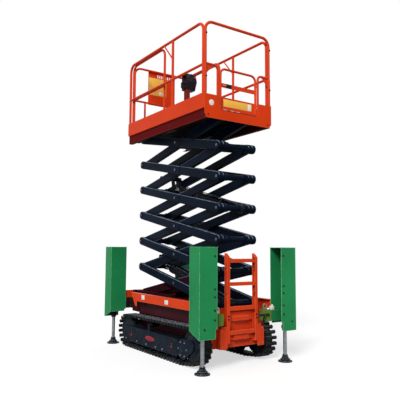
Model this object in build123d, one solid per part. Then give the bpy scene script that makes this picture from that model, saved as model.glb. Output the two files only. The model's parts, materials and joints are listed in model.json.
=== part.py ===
from build123d import *
import math
import os

# Tracked scissor lift, millimetres. Origin on the ground under the middle of the machine.
# +X points to the ladder and gate end, +Z up. Left is -Y, right is +Y.

# Small clearances shared by all pieces
SEAT = 0.2
SLIDE_SEAT = 0.3
PIN_FIT = 0.05
OPEN_PIN_FIT = 2.0
MOVING_GAP = 5.0
SHEET = 6.0
THIN_SHEET = 3.0

# Scissor stack
STAGES = 6
ARM_LENGTH = 2040.0
LEVEL_STEP = 400.0
FRONT_PIN_X = 992.5
BASE_PIN_Z = 763.0
ARM_DEPTH = 120.0
ARM_THICKNESS = 60.0
ARM_CORNER = 9.0
END_BOSS_RADIUS = 44.0
OUTER_ARM_FACE = 303.0
ARM_PIN_RADIUS = 25.0
PIN_PROUD = 6.0
CROSS_TUBE_RADIUS = 38.0
CROSS_COLLAR_RADIUS = 52.0
CROSS_COLLAR_WIDTH = 36.0
CENTRE_PATCH_LENGTH = 230.0
CENTRE_PATCH_DEPTH = 96.0
CENTRE_PATCH_CORNER = 12.0
PATCH_THICKNESS = 8.0
ROLLER_RADIUS = 34.0
ROLLER_WIDTH = 44.0
ROLLER_PIN_RADIUS = 18.0
STOWED_ANGLE = 4.4
RAISED_ANGLE = 60.0

ARM_ANGLE = math.degrees(math.asin(LEVEL_STEP / ARM_LENGTH))
ARM_REACH = ARM_LENGTH * math.cos(math.radians(ARM_ANGLE))
REAR_PIN_X = FRONT_PIN_X - ARM_REACH
OUTER_ARM_INNER = OUTER_ARM_FACE - ARM_THICKNESS
INNER_ARM_FACE = OUTER_ARM_INNER - MOVING_GAP
INNER_ARM_INNER = INNER_ARM_FACE - ARM_THICKNESS
TOP_PIN_Z = BASE_PIN_Z + STAGES * LEVEL_STEP
STOWED_REAR_X = FRONT_PIN_X - ARM_LENGTH * math.cos(math.radians(STOWED_ANGLE))
RAISED_REAR_X = FRONT_PIN_X - ARM_LENGTH * math.cos(math.radians(RAISED_ANGLE))

# Lift cylinders
CYLINDER_OFFSET_Y = 80.0
BARREL_RADIUS = 50.0
BARREL_HEAD_RADIUS = 54.0
BARREL_HEAD_LENGTH = 70.0
LIFT_ROD_RADIUS = 30.0
ROD_BORE_FIT = 0.05
BASE_EYE_RADIUS = 56.0
BASE_EYE_WIDTH = 60.0
BARREL_START = 34.0
ROD_BORE_START = 84.0
ROD_EYE_RADIUS = 34.0
ROD_EYE_WIDTH = 60.0
ROD_EYE_BORE = 20.0
EYE_ARM_FRACTION = 0.2
EYE_BELOW_ARM = 60.0
LUG_TUBE_ABOVE_ARM = 80.0
LUG_TUBE_RADIUS = 32.0
LUG_THICKNESS = 14.0
LUG_WIDTH = 84.0
LIFT_ROD_SHOWN = 172.0
LIFT_ROD_HIDDEN = 600.0

# Roller channels
CHANNEL_INNER_Y = OUTER_ARM_FACE + PATCH_THICKNESS + MOVING_GAP
CHANNEL_WIDTH = 62.0
CHANNEL_FLANGE = 6.0
CHANNEL_END_ROOM = ARM_DEPTH / 2 + MOVING_GAP
CHANNEL_OUTER_Y = CHANNEL_INNER_Y + CHANNEL_WIDTH

# Chassis
TRAY_TOP = 675.0
TRAY_BOTTOM = 500.0
TRAY_REAR_X = -970.0
TRAY_FRONT_X = 1040.0
TRAY_HALF_WIDTH = 450.0
TRAY_EDGE_CHAMFER = 60.0
BELLY_HALF_WIDTH = 390.0
BELLY_BOTTOM = 235.0
BELLY_REAR_X = -860.0
BELLY_FRONT_X = 960.0
BEAM_WEB_Y = 550.0
BEAM_TOP = 790.0
BEAM_REAR_X = -820.0
BEAM_FLANGE = 52.0
BEAM_SHEET = 6.0
GUSSET_BOTTOM = 600.0
GUSSET_FOOT = 40.0
GUSSET_HEAD = 170.0
PIVOT_LUG_RADIUS = 52.0
PIVOT_LUG_THICKNESS = 24.0
PIVOT_LUG_FOOT = 80.0

# Front plate and ladder
PLATE_X = 1045.0
PLATE_THICKNESS = 8.0
PLATE_BOTTOM = 235.0
PLATE_HALF_WIDTH = 420.0
PLATE_TOP_HALF_WIDTH = 300.0
LADDER_BACK_X = 1080.0
LADDER_FRONT_X = 1140.0
LADDER_HALF_WIDTH = 243.0
LADDER_RAIL_WIDTH = 42.0
LADDER_TIP_Z = 1390.0
LADDER_TIP_DROP = 50.0
LADDER_BOTTOM_Z = 300.0
RUNG_TOPS = (1320.0, 1032.0, 735.0, 442.0)
RUNG_HEIGHT = 44.0
RUNG_DEPTH = 40.0
RUNG_WALL = 4.0
LADDER_HOLE = 46.0
LADDER_HOLE_WIDTH = 32.0
LADDER_HOLE_TOPS = (1215.0, 900.0)
STEP_PLATE_ZS = ((560.0, 660.0), (330.0, 392.0))
STEP_BOX_HALF_WIDTH = 115.0
STEP_BOX_DEPTH = 30.0
STEP_BOX_HEIGHT = 52.0
FLARE_TOP_Z = 500.0
FLARE_HALF_WIDTH = 344.0
FLARE_CHAMFER = 22.0
FLARE_SHEET = 5.0

# Tracks
TRACK_OUTER_Y = 608.0
TRACK_WIDTH = 180.0
BELT_WIDTH = 112.0
TRACK_REAR_WHEEL = (-877.0, 235.0, 235.0)
TRACK_FRONT_WHEEL = (865.0, 258.0, 232.0)
TRACK_GROUND_FRONT_X = 640.0
TRACK_GROUND_RADIUS = 90.0
LUG_HEIGHT = 20.0
BELT_THICKNESS = 20.0
TRACK_SHOE_PITCH = 76.0
TRACK_SHOE_LENGTH = 48.0
TRACK_SHOE_TIP = 34.0
TRACK_SHOE_ROOT = 14.0
FRAME_OUTER_Y = 600.0
FRAME_INNER_Y = 446.0
WHEEL_OUTER_Y = 566.0
FRAME_PANEL_REAR_X = -1000.0
FRAME_PANEL_FRONT_X = 550.0
FRAME_PANEL_TOP = 305.0
FRAME_PANEL_BOTTOM = 90.0
FRAME_CORNER = 110.0
OVAL_CENTRES = (-709.0, 411.0)
OVAL_LENGTH = 92.0
OVAL_WIDTH = 44.0
OVAL_DEPTH = 40.0
HUB_COVER_X = 690.0
HUB_COVER_Z = 200.0
HUB_COVER_RADIUS = 122.0
WHEEL_HUB_RADIUS = 70.0
CARRIER_X = -180.0
CARRIER_RADIUS = 40.0
CARRIER_STAND = 50.0
ROAD_ROLLER_RADIUS = 50.0
ROAD_ROLLER_XS = (-600.0, -390.0, -180.0, 30.0, 240.0, 450.0)
CROSS_ARM_XS = (-560.0, 420.0)
CROSS_ARM_LENGTH = 140.0
CROSS_ARM_BOTTOM = 170.0

# Outriggers
LEG_X = 1200.0
LEG_Y = 652.0
LEG_ROD_RADIUS = 24.0
LEG_TUBE_RADIUS = 36.0
LEG_TUBE_BOTTOM = 425.0
LEG_TUBE_TOP = 1440.0
LEG_ROD_FIT = 0.3
LEG_LIFT = 300.0
LEG_ROD_TOP = 1020.0
LEG_COLLAR_RADIUS = 46.0
LEG_COLLAR_HEIGHT = 36.0
LEG_GLAND_RADIUS = 38.0
LEG_GLAND_BOTTOM = 397.0
FOOT_RADIUS = 92.0
FOOT_THICKNESS = 14.0
FOOT_BOOT_STEPS = ((62.0, 40.0), (44.0, 62.0), (36.0, 90.0))
HOUSING_INNER_X = 1085.0
HOUSING_OUTER_X = 1295.0
HOUSING_INNER_Y = 508.0
HOUSING_OUTER_Y = 763.0
HOUSING_TOP = 1466.0
HOUSING_BOTTOM = 403.0
HOUSING_SIDE_BOTTOM = 490.0
HOUSING_NOTCH_Z = 515.0
HOUSING_NOTCH_Y = 22.0
HOUSING_SHEET = 6.0
HOUSING_LID_LIP = 8.0
BRACKET_BOTTOM = 530.0
BRACKET_TOP = 665.0
BRACKET_INNER_Y = 345.0
EYE_X_FRONT = 1118.0
EYE_Y_SIDE = 382.0
EYE_THICKNESS = 12.0
EYE_HOLE_RADIUS = 20.0
EYE_RING = 16.0
EYE_RISE = 44.0
REAR_BEAM_BOTTOM = 690.0
REAR_BEAM_TOP = 800.0
REAR_BEAM_HALF_WIDTH = 590.0
REAR_BEAM_SHEET = 8.0

# Platform
PLATFORM_REAR_X = -1022.0
PLATFORM_FRONT_X = 1079.0
PLATFORM_HALF_WIDTH = 551.0
FLOOR_TOP = 3242.5
FLOOR_THICKNESS = 4.0
SKIRT_BOTTOM = 3072.5
TOE_TOP = 3390.0
TOE_LIP_Z = 3197.0
END_TOE_TOP = 3375.0
END_CHAMFER = 45.0
SIDE_BEAM_INSET = 21.0
SIDE_BEAM_FLANGE = 60.0
RAIL_RADIUS = 19.0
RAIL_MID_RADIUS = 17.0
RAIL_POST_RADIUS = 18.0
RAIL_TOP_Z = 4323.5
RAIL_MID_Z = 3768.0
RAIL_BEND = 110.0
RAIL_FRONT_X = 1012.0
RAIL_REAR_X = -1001.0
RAIL_MID_POST_X = 270.0
RAIL_BRACE_X = 30.0
RAIL_BRACE_Z = 4055.0
RAIL_BRACE_RADIUS = 10.0
FRONT_HOOP_X = 1053.5
QUARTER_BEND = 60.0
QUARTER_RADIUS = 16.0
SOCKET_RADIUS = 22.0
SOCKET_BOTTOM = 3396.0
SOCKET_TOP = 3745.0
HOOP_GUSSET = 115.0
GATE_POST_Y = 334.0
GATE_HALF_WIDTH = 290.0
GATE_TUBE_RADIUS = 15.0
GATE_TOP_Z = 3747.0
GATE_BEND = 75.0
GATE_SHEET_TOP = 3375.0
GATE_BAR_Z = 3530.0
GATE_BAR_HEIGHT = 56.0
GATE_HINGE_BACK = 26.0
GATE_HINGE_Y = 311.0
GATE_HINGE_ZS = (3330.0, 3640.0)
GATE_SLEEVE_RADIUS = 9.0
GATE_PIN_RADIUS = 5.0
GATE_SLEEVE_HEIGHT = 40.0
GATE_EAR = 6.0
GATE_HINGE_LAP = 4.0
FLOOR_RIB_XS = (-950.0, -450.0, 50.0, 550.0, 960.0)
FLOOR_RIB_WIDTH = 50.0
FLOOR_RIB_DEPTH = 90.0

# Extension deck
EXT_REAR_X = -1018.0
EXT_FRONT_X = 60.0
EXT_HALF_WIDTH = 504.5
EXT_THICKNESS = 26.0
EXT_SHEET = 4.0
EXT_RAIL_RADIUS = 17.0
EXT_RAIL_Y = 487.0
EXT_RAIL_REAR_X = -985.0
EXT_RAIL_FRONT_X = -20.0
EXT_RAIL_TOP_Z = 4318.0
EXT_HOOP_DROP = 14.0
EXT_HOOP_X = EXT_RAIL_REAR_X + 2 * EXT_RAIL_RADIUS - 1.0
MID_RAIL_RADIUS = 15.5
EXT_TOE_TOP = 3400.0
EXT_QUARTER_Y = 300.0
PANEL_LEFT_Y = -236.0
PANEL_RIGHT_Y = 265.0
PANEL_BOTTOM = 3750.0
LOUVRE_LEFT_Y = -60.0
LOUVRE_RIGHT_Y = 200.0
LOUVRE_COUNT = 8
LOUVRE_WIDTH = 14.0
LOUVRE_HEIGHT = 52.0
LOUVRE_BELOW_TOP = 60.0
CONTROL_X = -600.0
CONTROL_Y = 270.0
CONTROL_BOX_Y = 315.0
CONTROL_WIDTH = 180.0
CONTROL_DEPTH = 170.0
CONTROL_BOTTOM = 3985.0
CONTROL_HEIGHT = 260.0
CONTROL_UNDERCUT = 56.0
CONTROL_BROW = 42.0
HOOD_REACH = 125.0
HOOD_DROP = 62.0
HOOD_SHEET = 22.0
HANDLE_GAP = 34.0
HANDLE_WIDTH = 30.0
HANDLE_LOW = 18.0
HANDLE_HIGH = 105.0
CONTROL_POST = 70.0
CONTROL_FOOT = 130.0


os.makedirs("parts", exist_ok=True)


def block(x0, x1, y0, y1, z0, z1):
    """A box between two corners."""
    size = Box(abs(x1 - x0), abs(y1 - y0), abs(z1 - z0))
    return Pos((x0 + x1) / 2, (y0 + y1) / 2, (z0 + z1) / 2) * size


def rod_y(x, z, radius, y0, y1):
    """A round bar across the machine."""
    return Pos(x, (y0 + y1) / 2, z) * Rot(90, 0, 0) * Cylinder(radius, abs(y1 - y0))


def rod_z(x, y, radius, z0, z1):
    """A round upright bar."""
    return Pos(x, y, (z0 + z1) / 2) * Cylinder(radius, abs(z1 - z0))


def tube_run(points, radius, bend):
    """A bent round tube along a polyline with equal bends."""
    if len(points) == 2:
        path = Line(*points)
    else:
        path = FilletPolyline(*points, radius=bend)
    section = Plane(origin=path @ 0, z_dir=path % 0) * Circle(radius)
    return sweep(section, path=path)


def plate_xz(points, y0, y1):
    """A flat plate with its outline in X and Z, between two Y values."""
    face = make_face(Polyline(*[(x, 0, z) for x, z in points], close=True))
    return Pos(0, y0, 0) * extrude(face, amount=y1 - y0, dir=(0, 1, 0))


def plate_yz(points, x0, x1):
    """A flat plate with its outline in Y and Z, between two X values."""
    face = make_face(Polyline(*[(0, y, z) for y, z in points], close=True))
    return Pos(x0, 0, 0) * extrude(face, amount=x1 - x0, dir=(1, 0, 0))


def joined(pieces):
    """Weld a list of touching pieces into one solid."""
    return Part() + pieces


def mirrored(shape):
    """The same piece on the other long side."""
    return mirror(shape, about=Plane.XZ)


def both_sides(shape):
    """A piece and its mirror image as separate solids."""
    return [shape, mirrored(shape)]


def four_corners(shape):
    """A front right piece repeated at the four corners, named by place."""
    back = mirror(shape, about=Plane.YZ)
    return {
        "front_right": shape,
        "front_left": mirrored(shape),
        "rear_right": back,
        "rear_left": mirrored(back),
    }


def save(name, shape):
    """Write one node."""
    if isinstance(shape, list):
        solids = []
        for piece in shape:
            solids.extend(piece.solids())
        shape = Compound(children=solids)
    export_step(shape, f"parts/{name}.step")


# Scissor arms
def arm_bar(y0, y1):
    """One arm lying along X, its end pins at plus and minus half its length."""
    outline = Plane.XZ * SlotCenterToCenter(ARM_LENGTH, ARM_DEPTH)
    bar = Pos(0, y1, 0) * extrude(outline, amount=y1 - y0)
    rims = [edge for edge in bar.edges() if abs(edge.bounding_box().size.Y) < SEAT]
    return fillet(rims, ARM_CORNER)


def centre_patch(y0, y1):
    """The doubler plate welded over an arm's middle."""
    outline = Plane.XZ * RectangleRounded(CENTRE_PATCH_LENGTH, CENTRE_PATCH_DEPTH, CENTRE_PATCH_CORNER)
    return Pos(0, y1, 0) * extrude(outline, amount=y1 - y0)


def place_arm(shape, level, tilt):
    """Put an arm that lies along X into its stage."""
    x = (FRONT_PIN_X + REAR_PIN_X) / 2
    z = BASE_PIN_Z + (level - 0.5) * LEVEL_STEP
    return Pos(x, 0, z) * Rot(0, tilt, 0) * shape


def outer_arm(stage):
    """Right outer arm of a stage: front end low, rear end high."""
    half = ARM_LENGTH / 2
    arm = arm_bar(OUTER_ARM_INNER, OUTER_ARM_FACE)
    arm += centre_patch(OUTER_ARM_FACE, OUTER_ARM_FACE + PATCH_THICKNESS / 2)
    arm += rod_y(0, 0, ARM_PIN_RADIUS, INNER_ARM_INNER, OUTER_ARM_FACE + PATCH_THICKNESS)
    boss_y = OUTER_ARM_FACE + PATCH_THICKNESS / 2
    if stage > 1:
        arm += rod_y(half, 0, END_BOSS_RADIUS, OUTER_ARM_FACE, boss_y)
    arm -= rod_y(half, 0, ARM_PIN_RADIUS + PIN_FIT, OUTER_ARM_INNER, boss_y)
    if stage < STAGES:
        arm += rod_y(-half, 0, END_BOSS_RADIUS, OUTER_ARM_FACE, boss_y)
        arm -= rod_y(-half, 0, ARM_PIN_RADIUS + OPEN_PIN_FIT, OUTER_ARM_INNER, boss_y)
    else:
        arm += roller_pin(-half)
    return arm


def roller_pin(x):
    """The stub that carries a channel roller."""
    return rod_y(x, 0, ROLLER_PIN_RADIUS, INNER_ARM_FACE, CHANNEL_INNER_Y + ROLLER_WIDTH + PIN_PROUD)


def channel_roller(x):
    """A roller that runs in the chassis or platform channel, fixed on its stub."""
    y0 = CHANNEL_INNER_Y + PIN_PROUD / 2
    roller = rod_y(x, 0, ROLLER_RADIUS - SLIDE_SEAT, y0, y0 + ROLLER_WIDTH)
    return roller


def inner_arm(stage):
    """Right inner arm of a stage: rear end low, front end high."""
    half = ARM_LENGTH / 2
    arm = arm_bar(INNER_ARM_INNER, INNER_ARM_FACE)
    arm -= rod_y(0, 0, ARM_PIN_RADIUS + PIN_FIT, INNER_ARM_INNER, INNER_ARM_FACE)
    arm += rod_y(half, 0, ARM_PIN_RADIUS, INNER_ARM_FACE, OUTER_ARM_FACE + PIN_PROUD)
    if stage > 1:
        arm += rod_y(-half, 0, ARM_PIN_RADIUS, INNER_ARM_FACE, OUTER_ARM_FACE + PIN_PROUD)
    else:
        arm += roller_pin(-half)
    return arm


def cross_tube(x):
    """The tube that ties the two inner arms at a pin, with a collar at each arm."""
    reach = INNER_ARM_INNER - SEAT
    tube = rod_y(x, 0, CROSS_TUBE_RADIUS, -reach, reach)
    for side in (-1, 1):
        tube += rod_y(x, 0, CROSS_COLLAR_RADIUS, side * reach, side * (reach - CROSS_COLLAR_WIDTH))
    return tube


def eye_lugs(cylinder_y):
    """The tube and two plates that take a lift cylinder's rod eye."""
    x = (EYE_ARM_FRACTION - 0.5) * ARM_LENGTH
    reach = INNER_ARM_INNER - SEAT
    tube = rod_y(x, LUG_TUBE_ABOVE_ARM, LUG_TUBE_RADIUS, -reach, reach)
    for side in (-1, 1):
        inner = cylinder_y + side * (ROD_EYE_WIDTH / 2 + MOVING_GAP)
        outer = inner + side * LUG_THICKNESS
        slot = Plane.XZ * SlotOverall(
            LUG_TUBE_ABOVE_ARM + EYE_BELOW_ARM + LUG_WIDTH, LUG_WIDTH, rotation=90
        )
        mid_z = (LUG_TUBE_ABOVE_ARM - EYE_BELOW_ARM) / 2
        plate = Pos(x, max(inner, outer), mid_z) * extrude(slot, amount=LUG_THICKNESS)
        plate -= rod_y(x, -EYE_BELOW_ARM, ROD_EYE_BORE, inner, outer)
        tube += plate
    for side in (-1, 1):
        end_y = side * reach
        tube += block(
            x - LUG_TUBE_RADIUS, x + LUG_TUBE_RADIUS,
            end_y, end_y - side * LUG_THICKNESS,
            -ARM_DEPTH / 4, LUG_TUBE_ABOVE_ARM,
        )
    return tube


CYLINDERS = {
    "lower": {"y": -CYLINDER_OFFSET_Y, "level": 0, "stage": 2},
    "upper": {"y": CYLINDER_OFFSET_Y, "level": 3, "stage": 5},
}

for stage in range(1, STAGES + 1):
    outer = outer_arm(stage)
    inner = inner_arm(stage)
    outer_pieces = both_sides(outer)
    inner_pieces = both_sides(inner)
    if stage == STAGES:
        outer_pieces += both_sides(channel_roller(-ARM_LENGTH / 2) - roller_pin(-ARM_LENGTH / 2))
    if stage == 1:
        inner_pieces += both_sides(channel_roller(-ARM_LENGTH / 2) - roller_pin(-ARM_LENGTH / 2))
    inner_pieces.append(cross_tube(ARM_LENGTH / 2))
    inner_pieces.append(cross_tube(-ARM_LENGTH / 2))
    for cylinder in CYLINDERS.values():
        if cylinder["stage"] == stage:
            inner_pieces.append(eye_lugs(cylinder["y"]))
    outer_pieces = [place_arm(piece, stage, ARM_ANGLE) for piece in outer_pieces]
    inner_pieces = [place_arm(piece, stage, -ARM_ANGLE) for piece in inner_pieces]
    save(f"outer_arms_{stage}", outer_pieces)
    save(f"inner_arms_{stage}", inner_pieces)


# Lift cylinders
def rod_eye_point():
    """The rod eye's place from the barrel's base pin, in X and Z."""
    turn = math.radians(ARM_ANGLE)
    along = EYE_ARM_FRACTION * ARM_LENGTH
    x = -ARM_REACH + along * math.cos(turn) + EYE_BELOW_ARM * math.sin(turn)
    z = LEVEL_STEP + along * math.sin(turn) - EYE_BELOW_ARM * math.cos(turn)
    return x, z


EYE_X, EYE_Z = rod_eye_point()
CYLINDER_LENGTH = math.hypot(EYE_X, EYE_Z)
CYLINDER_TILT = math.degrees(math.atan2(EYE_Z, -EYE_X))


def lift_barrel():
    """A barrel along -X from its base eye, bored for its rod."""
    end = -(CYLINDER_LENGTH - LIFT_ROD_SHOWN)
    neck = -BARREL_START
    barrel = Pos((neck + end) / 2, 0, 0) * Rot(0, 90, 0) * Cylinder(BARREL_RADIUS, neck - end)
    head = end + BARREL_HEAD_LENGTH
    barrel += Pos((head + end) / 2, 0, 0) * Rot(0, 90, 0) * Cylinder(BARREL_HEAD_RADIUS, head - end)
    barrel += rod_y(0, 0, BASE_EYE_RADIUS, -BASE_EYE_WIDTH / 2, BASE_EYE_WIDTH / 2)
    barrel -= rod_y(0, 0, CROSS_TUBE_RADIUS + PIN_FIT, -BARREL_RADIUS * 2, BARREL_RADIUS * 2)
    bore_start = -ROD_BORE_START
    bore = Rot(0, 90, 0) * Cylinder(LIFT_ROD_RADIUS + ROD_BORE_FIT, bore_start - end)
    barrel -= Pos((bore_start + end) / 2, 0, 0) * bore
    return barrel


def lift_rod():
    """A rod along -X with its eye, reaching back into the barrel."""
    eye = -CYLINDER_LENGTH
    inner_end = eye + LIFT_ROD_SHOWN + LIFT_ROD_HIDDEN + BARREL_HEAD_LENGTH
    rod = Pos((eye + inner_end) / 2, 0, 0) * Rot(0, 90, 0) * Cylinder(LIFT_ROD_RADIUS, inner_end - eye)
    ring = rod_y(eye, 0, ROD_EYE_RADIUS, -ROD_EYE_WIDTH / 2, ROD_EYE_WIDTH / 2)
    clear = rod_y(eye, 0, ROD_EYE_RADIUS, -LIFT_ROD_RADIUS, LIFT_ROD_RADIUS)
    rod = rod - clear + ring
    rod -= rod_y(eye, 0, ROD_EYE_BORE, -ROD_EYE_WIDTH, ROD_EYE_WIDTH)
    return rod


for name, cylinder in CYLINDERS.items():
    place = Pos(FRONT_PIN_X, cylinder["y"], BASE_PIN_Z + cylinder["level"] * LEVEL_STEP)
    place = place * Rot(0, CYLINDER_TILT, 0)
    save(f"lift_barrel_{name}", place * lift_barrel())
    save(f"lift_rod_{name}", place * lift_rod())


# Scissor base on the chassis and its twin under the platform
def roller_channel(pin_z, x0, x1):
    """A C channel that a roller runs in, open towards the middle."""
    half = ROLLER_RADIUS + CHANNEL_FLANGE
    channel = block(x0, x1, CHANNEL_INNER_Y, CHANNEL_OUTER_Y, pin_z - half, pin_z + half)
    channel -= block(
        x0, x1,
        CHANNEL_INNER_Y, CHANNEL_OUTER_Y - CHANNEL_FLANGE,
        pin_z - ROLLER_RADIUS, pin_z + ROLLER_RADIUS,
    )
    return channel


CHANNEL_REAR_X = STOWED_REAR_X - CHANNEL_END_ROOM
CHANNEL_FRONT_X = RAISED_REAR_X + CHANNEL_END_ROOM
CHANNEL_HALF = ROLLER_RADIUS + CHANNEL_FLANGE


def pivot_lug(y0, y1, pin_z, seat_z):
    """A rounded lug standing on, or hanging from, a flat seat."""
    lug = rod_y(FRONT_PIN_X, pin_z, PIVOT_LUG_RADIUS, y0, y1)
    foot = PIVOT_LUG_FOOT / 2 + PIVOT_LUG_RADIUS / 2
    lug += plate_xz(
        [
            (FRONT_PIN_X - foot, seat_z),
            (FRONT_PIN_X + PIVOT_LUG_RADIUS, seat_z),
            (FRONT_PIN_X + PIVOT_LUG_RADIUS, pin_z),
            (FRONT_PIN_X - PIVOT_LUG_RADIUS, pin_z),
        ],
        min(y0, y1), max(y0, y1),
    )
    return lug


def base_pivot():
    """Lugs, stub pins and the middle tube that the lower cylinder hangs on."""
    outer_y = OUTER_ARM_FACE + MOVING_GAP
    inner_y = OUTER_ARM_INNER - MOVING_GAP
    base = None
    for side in (-1, 1):
        far = pivot_lug(side * outer_y, side * (outer_y + PIVOT_LUG_THICKNESS), BASE_PIN_Z, TRAY_TOP)
        near = pivot_lug(side * inner_y, side * (inner_y - PIVOT_LUG_THICKNESS), BASE_PIN_Z, TRAY_TOP)
        pin = rod_y(
            FRONT_PIN_X, BASE_PIN_Z, ARM_PIN_RADIUS,
            side * inner_y, side * (outer_y + PIVOT_LUG_THICKNESS + PIN_PROUD),
        )
        piece = far + near + pin
        base = piece if base is None else base + piece
    base += rod_y(FRONT_PIN_X, BASE_PIN_Z, CROSS_TUBE_RADIUS, -inner_y, inner_y)
    return base


def chassis_channels():
    """The two roller channels with the packing rails that carry them."""
    channel = roller_channel(BASE_PIN_Z, CHANNEL_REAR_X, CHANNEL_FRONT_X)
    channel += block(
        max(TRAY_REAR_X, CHANNEL_REAR_X), CHANNEL_FRONT_X, CHANNEL_INNER_Y, CHANNEL_OUTER_Y,
        TRAY_TOP, BASE_PIN_Z - CHANNEL_HALF,
    )
    return channel


save("scissor_base", base_pivot())
save("chassis_roller_channels", both_sides(chassis_channels()))


# Chassis
def chassis_tray():
    """The body between and over the tracks, closed, with bevelled lower edges."""
    top = plate_yz(
        [
            (-TRAY_HALF_WIDTH, TRAY_TOP),
            (TRAY_HALF_WIDTH, TRAY_TOP),
            (TRAY_HALF_WIDTH, TRAY_BOTTOM),
            (-TRAY_HALF_WIDTH, TRAY_BOTTOM),
        ],
        TRAY_REAR_X, TRAY_FRONT_X,
    )
    belly = plate_yz(
        [
            (-BELLY_HALF_WIDTH, TRAY_BOTTOM),
            (BELLY_HALF_WIDTH, TRAY_BOTTOM),
            (BELLY_HALF_WIDTH, BELLY_BOTTOM + TRAY_EDGE_CHAMFER),
            (BELLY_HALF_WIDTH - TRAY_EDGE_CHAMFER, BELLY_BOTTOM),
            (-BELLY_HALF_WIDTH + TRAY_EDGE_CHAMFER, BELLY_BOTTOM),
            (-BELLY_HALF_WIDTH, BELLY_BOTTOM + TRAY_EDGE_CHAMFER),
        ],
        BELLY_REAR_X, BELLY_FRONT_X,
    )
    return top + belly


def side_beam():
    """Right side beam: a folded sheet on the tray's edge with a gusset at its rear."""
    y = BEAM_WEB_Y
    web = plate_xz(
        [
            (BEAM_REAR_X, BEAM_TOP),
            (PLATE_X, BEAM_TOP),
            (PLATE_X, TRAY_TOP),
            (BEAM_REAR_X + GUSSET_HEAD, TRAY_TOP),
            (BEAM_REAR_X + GUSSET_HEAD, GUSSET_BOTTOM),
            (BEAM_REAR_X + GUSSET_HEAD - GUSSET_FOOT, GUSSET_BOTTOM),
        ],
        y - BEAM_SHEET, y,
    )
    top = block(BEAM_REAR_X, PLATE_X, y - BEAM_FLANGE, y, BEAM_TOP - BEAM_SHEET, BEAM_TOP)
    bottom = block(
        BEAM_REAR_X + GUSSET_HEAD, PLATE_X, TRAY_HALF_WIDTH - BEAM_FLANGE / 2, y,
        TRAY_TOP, TRAY_TOP + BEAM_SHEET,
    )
    return web + top + bottom


def front_plate():
    """The orange end plate behind the ladder."""
    return plate_yz(
        [
            (-PLATE_HALF_WIDTH, PLATE_BOTTOM),
            (PLATE_HALF_WIDTH, PLATE_BOTTOM),
            (PLATE_HALF_WIDTH, TRAY_TOP),
            (PLATE_TOP_HALF_WIDTH, TRAY_TOP + RUNG_HEIGHT),
            (-PLATE_TOP_HALF_WIDTH, TRAY_TOP + RUNG_HEIGHT),
            (-PLATE_HALF_WIDTH, TRAY_TOP),
        ],
        PLATE_X, PLATE_X + PLATE_THICKNESS,
    )


def front_bulkhead():
    """The spacer that carries the end plate on the tray."""
    return block(TRAY_FRONT_X, PLATE_X, -PLATE_TOP_HALF_WIDTH, PLATE_TOP_HALF_WIDTH, TRAY_BOTTOM, TRAY_TOP)


def ladder_flare():
    """Right flared foot plate of the ladder, with its return back to the end plate."""
    y0 = LADDER_HALF_WIDTH - RUNG_WALL
    face = plate_yz(
        [
            (y0, FLARE_TOP_Z),
            (y0, PLATE_BOTTOM),
            (FLARE_HALF_WIDTH, PLATE_BOTTOM),
            (FLARE_HALF_WIDTH, FLARE_TOP_Z - FLARE_CHAMFER),
            (FLARE_HALF_WIDTH - FLARE_CHAMFER, FLARE_TOP_Z),
        ],
        LADDER_FRONT_X - FLARE_SHEET, LADDER_FRONT_X,
    )
    side = block(
        PLATE_X + PLATE_THICKNESS, LADDER_FRONT_X,
        FLARE_HALF_WIDTH - FLARE_SHEET, FLARE_HALF_WIDTH, PLATE_BOTTOM, FLARE_TOP_Z - FLARE_CHAMFER,
    )
    return face + side


def ladder_rail():
    """Right ladder rail, a channel with a pointed tip."""
    y0 = LADDER_HALF_WIDTH - LADDER_RAIL_WIDTH
    y1 = LADDER_HALF_WIDTH
    rail = plate_xz(
        [
            (LADDER_BACK_X, LADDER_BOTTOM_Z),
            (LADDER_BACK_X, LADDER_TIP_Z),
            (LADDER_FRONT_X, LADDER_TIP_Z - LADDER_TIP_DROP),
            (LADDER_FRONT_X, LADDER_BOTTOM_Z),
        ],
        y0, y1,
    )
    rail -= block(
        LADDER_BACK_X + RUNG_WALL, LADDER_FRONT_X - RUNG_WALL, y0, y1 - RUNG_WALL,
        LADDER_BOTTOM_Z + RUNG_WALL, LADDER_TIP_Z - LADDER_TIP_DROP - RUNG_WALL,
    )
    for top in LADDER_HOLE_TOPS:
        rail -= plate_xz(
            [
                (LADDER_BACK_X + RUNG_WALL * 2, top),
                (LADDER_BACK_X + RUNG_WALL * 2 + LADDER_HOLE_WIDTH, top),
                (LADDER_BACK_X + RUNG_WALL * 2, top - LADDER_HOLE),
            ],
            y1 - RUNG_WALL, y1,
        )
    return rail


def ladder():
    """Ladder with box rungs, step plates and the stays back to the end plate."""
    half = ladder_rail() + ladder_flare()
    frame = half + mirrored(half)
    reach = LADDER_HALF_WIDTH - RUNG_WALL
    mid_x = (LADDER_BACK_X + LADDER_FRONT_X) / 2
    for top in RUNG_TOPS:
        rung = block(mid_x - RUNG_DEPTH / 2, mid_x + RUNG_DEPTH / 2, -reach, reach, top - RUNG_HEIGHT, top)
        frame += rung
    for low, high in STEP_PLATE_ZS:
        frame += block(LADDER_BACK_X, LADDER_BACK_X + RUNG_WALL, -reach, reach, low, high)
        frame += block(
            LADDER_BACK_X, LADDER_BACK_X + STEP_BOX_DEPTH, -STEP_BOX_HALF_WIDTH, STEP_BOX_HALF_WIDTH,
            low, low + STEP_BOX_HEIGHT,
        )
        for side in (-1, 1):
            stay_y = side * reach
            frame += block(
                PLATE_X + PLATE_THICKNESS, LADDER_BACK_X + RUNG_WALL,
                stay_y, stay_y - side * RUNG_DEPTH, low, high,
            )
    return frame


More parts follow.
